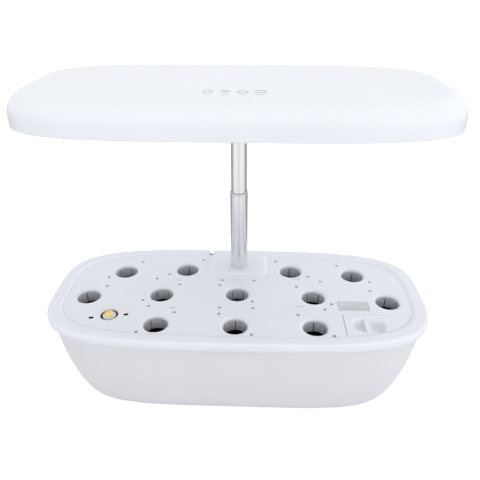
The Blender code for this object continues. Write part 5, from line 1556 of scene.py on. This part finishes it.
@dataclass
class TelescopicPole:
    """The lower and upper steel tubes."""

    finishes: Finishes
    y: float = PLAN.pole_y
    lower: float = 0.01045
    upper: float = 0.0093
    wall: float = 0.0007
    rim_growth: float = 0.0004
    rim_height: float = 0.003
    rim_depth: float = 0.002
    rim_neck: float = 0.0005
    foot: float = 0.0633
    overlap: float = 0.050

    def build(self) -> None:
        """Builds both tubes, the lower with its rolled rim."""
        joint = LEVELS.tube_joint
        rim = joint - self.rim_height
        inner = self.lower - self.wall
        wide = self.lower + self.rim_growth
        profile = rounded_path([
            (inner, self.foot, 0), (self.lower, self.foot, 0.0003), (self.lower, rim, 0.0004),
            (wide, rim + self.rim_neck, 0.0004), (wide, joint, 0.0011),
            (inner + 0.0002, joint, 0.0005), (inner, joint - self.rim_depth, 0)], 5)
        skin = Skin("pole_lower_tube")
        rows = turned(profile, 96, (0, self.y, 0))
        split = int(np.argmax(profile[:, 1] > rim - 0.0002))
        skin.grid(rows[:split + 1])
        skin.grid(rows[split:], finish=1)
        skin.grid(np.stack((rows[-1], rows[0])))
        show(skin.made((self.finishes.steel, self.finishes.bright_steel)), Body.DECK, Slot.STEEL,
             "lower_tube")
        bore = self.upper - self.wall
        low = joint - self.overlap
        profile = rounded_path([(bore, low, 0), (self.upper, low, 0.0002),
                                (self.upper, LEVELS.tube_top, 0.0002),
                                (bore, LEVELS.tube_top, 0)], 3)
        skin = Skin("pole_upper_tube")
        skin.ring(turned(profile, 96, (0, self.y, 0)))
        show(skin.made((self.finishes.steel,)), Body.UPPER_POLE, Slot.STEEL, "upper_tube")


@dataclass
class LampHood:
    """The lamp hood: upper shell, underside, light chips and touch marks."""

    finishes: Finishes
    half_x: float = 0.206
    half_y: float = 0.0985
    power: float = 4.0
    edge: float = 0.0197
    dome: float = 0.001
    crown_shares: tuple[float, ...] = (0.04, 0.2, 0.4, 0.6, 0.8, 0.92)
    level_share: float = 0.35
    wall: float = 0.0022
    lip_height: float = 0.004
    boss_x: float = 0.168
    boss_y: float = 0.056
    boss_end: float = 0.08
    boss_radius: float = 0.0035
    boss_flare: float = 0.0042
    boss_flare_drop: float = 0.003
    boss_bore_depth: float = 0.007
    ceiling_sink: float = 0.0004
    post_x: float = 0.033
    post_y: float = -0.056
    post_radius: float = 0.0025
    post_bore: float = 0.001
    post_bore_depth: float = 0.0029
    post_shoulder: float = 0.3488
    window_half_x: float = 0.150
    window_half_y: float = 0.044
    window_corner: float = 0.006
    window_y: float = -0.018
    window_lip: float = 0.003
    frame_outer: float = 0.0083
    frame_inner: float = 0.0053
    frame_height: float = 0.006
    pole_y: float = PLAN.pole_y
    pole_hole: float = 0.0096
    bracket_circle: float = 0.0152
    driver_place: Point = (0.085, 0.058)
    pin_x: float = 0.024
    pin_y: float = 0.010
    pin_shape: tuple[Point, ...] = ((0.002, 0), (0.002, 0.003), (0.001, 0.003),
                                    (0.001, 0.0056), (0, 0.0056))
    jack_x: float = 0.040
    jack_z: float = 0.33445
    jack_radius: float = 0.0038
    jack_cut: Point = (0.0955, 0.1)
    led_half_x: float = 0.138
    led_half_y: float = 0.033
    led_columns: int = 16
    led_rows: int = 4
    led_board: float = 0.0063
    led_layers: tuple[tuple[float, float, float, int], ...] = (
        (0.0014, 0.0007, 0, 0), (0.0010, 0.0009, 0.0007, 1))
    mark_scale: float = 1.2
    mark_y: float = -0.0513
    mark_width: float = 0.0008
    mark_sink: float = 0.00001
    mark_thickness: float = 0.00003
    mark_places: tuple[float, ...] = (-0.0225, -0.0075, 0.0075, 0.0225)
    dash_half: float = 0.0038
    dash_drop: float = 0.0102

    def outline(self, inset: float, height: float) -> np.ndarray:
        """The hood's outline at a height, inset from its widest."""
        return at_height(superellipse(self.half_x - inset, self.half_y - inset, self.power),
                         height)

    def crown(self, top: float, dome: float, edge: float, wall: float, rows: int
              ) -> list[np.ndarray]:
        """The dome and the rounded edge of one face of the shell.

        Over the flat the outline shrinks to a share s and the height is top - dome s^2, with
        the middle level. The edge is a quarter round of inset e (1 - sin a) and drop
        e (1 - cos a).
        """
        flat_x = self.half_x - wall - edge
        flat_y = self.half_y - wall - edge
        loops = [at_height(superellipse(flat_x * share, flat_y * share, self.power),
                           top - dome * max(share, self.level_share)**2)
                 for share in self.crown_shares]
        for angle in np.linspace(0, math.pi / 2, rows):
            loops.append(self.outline(wall + edge * (1 - math.sin(angle)),
                                      top - dome - edge * (1 - math.cos(angle))))
        return loops

    def boss_places(self) -> list[Point]:
        """Middles of the six screw bosses."""
        return four_places(self.boss_x, self.boss_y) + [(0, -self.boss_end), (0, self.boss_end)]

    def build_shell(self) -> None:
        """The upper shell: crown, upright side, lip, the same inside, bosses and posts."""
        skin = Skin("hood_shell")
        low = LEVELS.hood_bottom
        outer = self.crown(LEVELS.hood_top, self.dome, self.edge, 0, 22)
        start = low + self.lip_height
        lip = rounded_path([(0, start, 0), (0, low, 0.001), (self.wall, low, 0.0004),
                            (self.wall, start, 0)], 4)[1:]
        inner = self.crown(LEVELS.hood_ceiling, 0, self.edge - self.wall, self.wall, 12)
        skin.tube(np.concatenate((outer, swept(self.outline, lip), inner[::-1])))
        ceiling = LEVELS.hood_ceiling + self.ceiling_sink
        foot = LEVELS.base_top + GAP
        bore_end = foot + self.boss_bore_depth
        boss = rounded_path([(0, ceiling, 0), (self.boss_flare, ceiling, 0),
                             (self.boss_radius, ceiling - self.boss_flare_drop, 0.001),
                             (self.boss_radius, foot, 0.0003), (PLAN.screw_bore, foot, 0),
                             (PLAN.screw_bore, bore_end, 0), (0, bore_end, 0)], 3)
        for centre in self.boss_places():
            skin.grid(turned(boss, 28, (*centre, 0)))
        shoulder = self.post_shoulder
        bore_end = shoulder - self.post_bore_depth
        post = np.array(((0, ceiling), (self.post_radius, ceiling),
                         (self.post_radius, shoulder), (self.post_bore, shoulder),
                         (self.post_bore, bore_end), (0, bore_end)))
        for side in (-1, 1):
            skin.grid(turned(post, 24, (side * self.post_x, self.post_y, 0)))
        shell = skin.made((self.finishes.hood,))
        holes = Skin("jack_holes_cutter")
        profile = np.array([(self.jack_radius + GAP, along) for along in self.jack_cut])
        for side in (-1, 1):
            holes.tube(turned(profile, 48, (side * self.jack_x, 0, self.jack_z), Direction.BACK))
        carve(shell, holes.made(()))
        show(shell, Body.HOOD, Slot.WHITE, "hood_top")

    def window(self, growth: float, height: float) -> np.ndarray:
        """The light window's outline at a height, grown outwards."""
        outline = rounded_box(self.window_half_x + growth, self.window_half_y + growth,
                              self.window_corner + growth, 10, (0, self.window_y))
        return at_height(outline, height)

    def build_base(self) -> None:
        """The underside: a plate with window, light frame, pole hole and driver pins."""
        skin = Skin("hood_underside")
        low, top = LEVELS.base_bottom, LEVELS.base_top
        inset = self.wall + GAP
        rim = rounded_path([(inset + 0.002, top, 0), (inset, top, 0.0003), (inset, low, 0.0005),
                            (inset + 0.002, low, 0)], 4)[1:-1]
        edge = swept(self.outline, rim)
        skin.grid(edge)
        frame_top = top + self.frame_height
        frame = rounded_path([(self.frame_outer, top, 0), (self.frame_outer, frame_top, 0.0003),
                              (self.frame_inner, frame_top, 0.0003),
                              (self.frame_inner, top, 0)], 3)
        skin.grid(swept(self.window, frame))
        throat = rounded_path([(0, top, 0), (0, low, 0.0012), (self.window_lip, low, 0)], 5)[:-1]
        window = swept(self.window, throat)
        skin.grid(window)
        skin.sheet(top, self.window(self.frame_inner, 0)[:, :2], [window[0, :, :2]])
        holes = [(self.pole_hole, (0, self.pole_y))]
        holes += [(PLAN.screw_bore, centre)
                  for centre in self.boss_places() + self.bracket_places()]
        low_holes = [window[-1, :, :2]]
        top_holes = [self.window(self.frame_outer, 0)[:, :2]]
        for radius, centre in holes:
            profile = rounded_path([(radius, top, 0), (radius, low, 0.0004),
                                    (radius + 0.001, low, 0)], 3)[:-1]
            rows = turned(profile, 40, (*centre, 0))
            skin.grid(rows)
            low_holes.append(rows[-1, :, :2])
            top_holes.append(rows[0, :, :2])
        pin = np.array([(radius, top + rise) for radius, rise in self.pin_shape])
        for centre in four_places(self.pin_x, self.pin_y, self.driver_place):
            rows = turned(pin, 20, (*centre, 0))
            skin.grid(rows)
            top_holes.append(rows[0, :, :2])
        skin.sheet(low, edge[-1, :, :2], low_holes)
        skin.sheet(top, edge[0, :, :2], top_holes)
        show(skin.made((self.finishes.inner,)), Body.HOOD, Slot.WHITE, "hood_base")

    def bracket_places(self) -> list[Point]:
        """Middles of the pole bracket's four screws."""
        reach = self.bracket_circle * math.sqrt(0.5)
        return four_places(reach, reach, (0, self.pole_y))

    def build_leds(self) -> None:
        """The light board's chips: rows of small blocks with a lens, facing down.

        A layer is given as its half size, the depths of its two ends under the board and its
        finish.
        """
        across = np.linspace(-self.led_half_x, self.led_half_x, self.led_columns)
        back = self.window_y + np.linspace(-self.led_half_y, self.led_half_y, self.led_rows)
        x, y = (grid.ravel() for grid in np.meshgrid(across, back))
        board = LEVELS.base_top + self.led_board
        skin = Skin("led_chips")
        for half, low, high, finish in self.led_layers:
            for middle in zip(x, y):
                outline = np.array(middle) + np.array(CORNERS) * half
                skin.tube(np.stack((at_height(outline, board - high),
                                    at_height(outline, board - low))), finish)
        show(skin.made((self.finishes.inner, self.finishes.lens)), Body.HOOD, Slot.WHITE)

    def crown_height(self, path: np.ndarray) -> np.ndarray:
        """Height of the dome over points: top - dome s^2, s the points' share of the flat."""
        flat_x = self.half_x - self.edge
        flat_y = self.half_y - self.edge
        share = (np.abs(path[:, 0] / flat_x) ** self.power
                 + np.abs(path[:, 1] / flat_y) ** self.power) ** (1 / self.power)
        return LEVELS.hood_top - self.dome * np.maximum(share, self.level_share)**2

    def build_marks(self) -> None:
        """The four touch marks: power ring, sun, drop and clock, each over a short dash."""
        around = np.linspace(0, 2 * math.pi, 33)[:-1]
        ring = np.stack((np.cos(around), np.sin(around)), axis=1)
        open_ring = np.linspace(math.radians(125), math.radians(415), 25)
        arc = np.stack((np.cos(open_ring), np.sin(open_ring)), axis=1)
        drop = np.stack((np.sin(around) * np.sin(around / 2) ** 1.5, np.cos(around)), axis=1)
        rays = [(0.0028 * ring[index], 0.0043 * ring[index]) for index in range(0, 32, 4)]
        marks = (
            [(0.0031 * arc, False), (((0, 0.0008), (0, 0.0043)), False)],
            [(0.0018 * ring, True), *((ray, False) for ray in rays)],
            [((0.0046, 0.0040) * drop, True),
             (((-0.0046, -0.0030), (-0.0036, -0.0038)), False),
             (((0.0036, -0.0038), (0.0046, -0.0030)), False)],
            [(0.0037 * ring, True), (((0, 0.0024), (0, 0), (0.0018, -0.0009)), False)],
        )
        dash = np.array(((-self.dash_half, -self.dash_drop), (self.dash_half, -self.dash_drop)))
        skin = Skin("touch_marks")
        for x, strokes in zip(self.mark_places, marks):
            strokes = [(self.mark_scale * np.array(path), closed) for path, closed in strokes]
            strokes.append((dash, False))
            for path, closed in strokes:
                place = path + (x, self.mark_y)
                skin.band(place, self.mark_width, self.crown_height(place) - self.mark_sink,
                          self.mark_thickness, closed)
        show(skin.made((self.finishes.dark_ink,)), Body.HOOD, Slot.BLACK)

    def build(self) -> None:
        """Builds the hood's pieces."""
        self.build_shell()
        self.build_base()
        self.build_leds()
        self.build_marks()


@dataclass
class CarriedOver:
    """CAD nodes whose shapes stay, each given its finish."""

    finishes: Finishes
    nodes: dict[str, bpy.types.Object]

    def finish_of(self, name: str) -> bpy.types.Material:
        """The finish of a node, by its name."""
        finishes = self.finishes
        for stem, finish in (("foot", finishes.rubber), ("pump_cup", finishes.rubber),
                             ("pump_filter", finishes.sponge), ("pump_shaft", finishes.screw_steel),
                             ("pump", finishes.black), ("power_jack", finishes.black),
                             ("float_guide", finishes.black),
                             ("driver_board", finishes.green), ("touch_board", finishes.green),
                             ("touch_spring", finishes.bright_steel),
                             ("led_board", finishes.light_board),
                             ("light_diffuser", finishes.frost)):
            if name.startswith(stem):
                return finish
        return finishes.screw_steel if "screw" in name else finishes.inner

    def build(self) -> None:
        """Gives each node's material slots its finish."""
        for name, node in self.nodes.items():
            if not len(node.data.materials):
                node.data.materials.append(None)
            for number in range(len(node.data.materials)):
                node.data.materials[number] = self.finish_of(name)


# Studio -----------------------------------------------------------------------------------


def stand(thing: bpy.types.Object, right: np.ndarray, up: np.ndarray, back: np.ndarray,
          place: Sequence[float]) -> None:
    """Puts a camera or lamp at a place, with its own three axes along these directions."""
    axes = np.column_stack((right, up, back, place))
    thing.matrix_world = Matrix(np.vstack((axes, (0, 0, 0, 1))).tolist())
    bpy.context.collection.objects.link(thing)


@dataclass(frozen=True)
class Lamp:
    """A square soft lamp that faces a point."""

    name: str
    place: tuple[float, float, float]
    aim: tuple[float, float, float]
    size: float
    power: float

    def build(self) -> None:
        """Hangs the lamp up, level across."""
        data = bpy.data.lights.new(self.name, "AREA")
        data.shape = "SQUARE"
        data.size = self.size
        data.energy = self.power
        away = np.subtract(self.place, self.aim)
        away = away / np.linalg.norm(away)
        side = np.cross((0, 0, 1), away)
        side = side / np.linalg.norm(side)
        stand(bpy.data.objects.new(self.name, data), side, np.cross(away, side), away,
              self.place)


@dataclass
class Studio:
    """The pale floor, the soft lamps and the camera."""

    lens: float = 37.275
    sensor: float = 36
    pitch: float = math.radians(28.97)
    turn: float = 0.0349
    place: tuple[float, float, float] = (0.02004, -0.48400, 0.45330)
    shift_y: float = -0.0046
    world_tone: Colour = (0.97, 0.985, 1)
    world_level: float = 0.772
    world_band: float = 1.20
    world_lean: float = 0.22
    floor_radii: tuple[float, ...] = (0, 1.5, 12)
    floor_height: float = -0.0001
    floor_tone: Colour = (0.60, 0.60, 0.618)
    floor_glow: float = 0.72
    gloss_front: tuple[float, float] = (-0.22, 1.08)
    gloss_back: tuple[float, float] = (0.24, 0.38)
    gloss_middle: tuple[float, float] = (0.10, 0.80)
    gloss_side: tuple[float, float] = (0.22, 1)
    lamps: tuple[Lamp, ...] = (
        Lamp("over", (0.1, -0.3, 2.2), (0, 0, 0.2), 1.6, 0.5),
        Lamp("front_left", (-1.1, -1.6, 0.8), (0, 0, 0.15), 0.7, 0.6),
        Lamp("front_right", (1.5, -1.3, 0.7), (0, 0, 0.15), 0.7, 1.6))

    def camera(self) -> None:
        """The camera at the photograph's angle."""
        data = bpy.data.cameras.new("view")
        data.lens = self.lens
        data.sensor_width = self.sensor
        data.shift_y = self.shift_y
        camera = bpy.data.objects.new("view", data)
        right = np.array((math.cos(self.turn), math.sin(self.turn), 0))
        ahead = np.array((-math.sin(self.turn) * math.cos(self.pitch),
                          math.cos(self.turn) * math.cos(self.pitch), -math.sin(self.pitch)))
        stand(camera, right, np.cross(right, ahead), -ahead, self.place)
        bpy.context.scene.camera = camera

    def tent(self, nodes: Nodes) -> bpy.types.NodeSocket:
        """Strength of the light all round: level + band (1 - |z|)^2 + lean x, of a direction."""
        place = nodes.add("TexCoord").outputs["Generated"]
        split = nodes.add("SeparateXYZ", place)
        low = nodes.sum("SUBTRACT", 1.0, nodes.sum("ABSOLUTE", split.outputs["Z"]))
        band = nodes.sum("MULTIPLY", nodes.sum("MULTIPLY", low, low), self.world_band)
        lean = nodes.sum("MULTIPLY", split.outputs["X"], self.world_lean)
        return nodes.sum("ADD", nodes.sum("ADD", band, lean), self.world_level)

    def world(self) -> None:
        """A soft light all round, which the camera, clear material and gloss see as white."""
        world = bpy.data.worlds.new("studio")
        world.use_nodes = True
        nodes = Nodes(world.node_tree)
        soft = nodes.tree.nodes["Background"]
        nodes.feed(soft.inputs["Color"], (*self.world_tone, 1))
        nodes.feed(soft.inputs["Strength"], self.tent(nodes))
        white = nodes.add("Background", WHITE)
        nodes.surface("World Output",
                      nodes.mixed(nodes.seen("Camera", "Transmission", "Glossy"), soft, white))
        bpy.context.scene.world = world

    def floor(self) -> None:
        """A wide pale table top that keeps the garden's shadow.

        Camera and clear material see it glow. Gloss sees a white table that fades from front
        to back and under the garden, which gives the pole its bands.
        """
        skin = Skin("table_top")
        profile = np.array([(radius, 0) for radius in self.floor_radii])
        skin.grid(turned(profile, 48, (0, 0, self.floor_height)))
        recipe = Recipe("pale_table")
        recipe.tint(recipe.noise(3), self.floor_tone, 0.97, 1.03)
        recipe.constants(Roughness=0.9, Specular_IOR_Level=0.1)
        split = recipe.add("SeparateXYZ", recipe.place)
        ahead = recipe.faded(split.outputs["Y"], self.gloss_front, self.gloss_back)
        beside = recipe.sum("ABSOLUTE", split.outputs["X"])
        aside = recipe.faded(beside, self.gloss_middle, self.gloss_side)
        mirrored = recipe.add("Emission", WHITE, recipe.sum("MULTIPLY", ahead, aside))
        glow = recipe.sum("MULTIPLY", recipe.seen("Camera", "Transmission"), self.floor_glow)
        light = recipe.add("Emission", WHITE, glow)
        table = recipe.add("AddShader", recipe.shader.outputs[0], light.outputs[0])
        recipe.surface("Material Output", recipe.mixed(recipe.seen("Glossy"), table, mirrored))
        skin.made((recipe.material,))

    def build(self) -> None:
        """Sets up the camera, world, floor and lamps."""
        bpy.context.scene.view_settings.view_transform = "Standard"
        self.camera()
        self.world()
        self.floor()
        for lamp in self.lamps:
            lamp.build()


def main() -> None:
    """Builds the garden's sub-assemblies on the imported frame."""
    logging.basicConfig(level=logging.INFO, format="%(message)s")
    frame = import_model()
    finishes = Finishes()
    Studio().build()
    CarriedOver(finishes, frame["nodes"]).build()
    WaterTank(finishes).build()
    GrowDeck(finishes).build()
    DeckMarks(finishes).build()
    FillDoor(finishes).build()
    WaterFloat(finishes).build()
    TelescopicPole(finishes).build()
    LampHood(finishes).build()


if __name__ == "__main__":
    main()
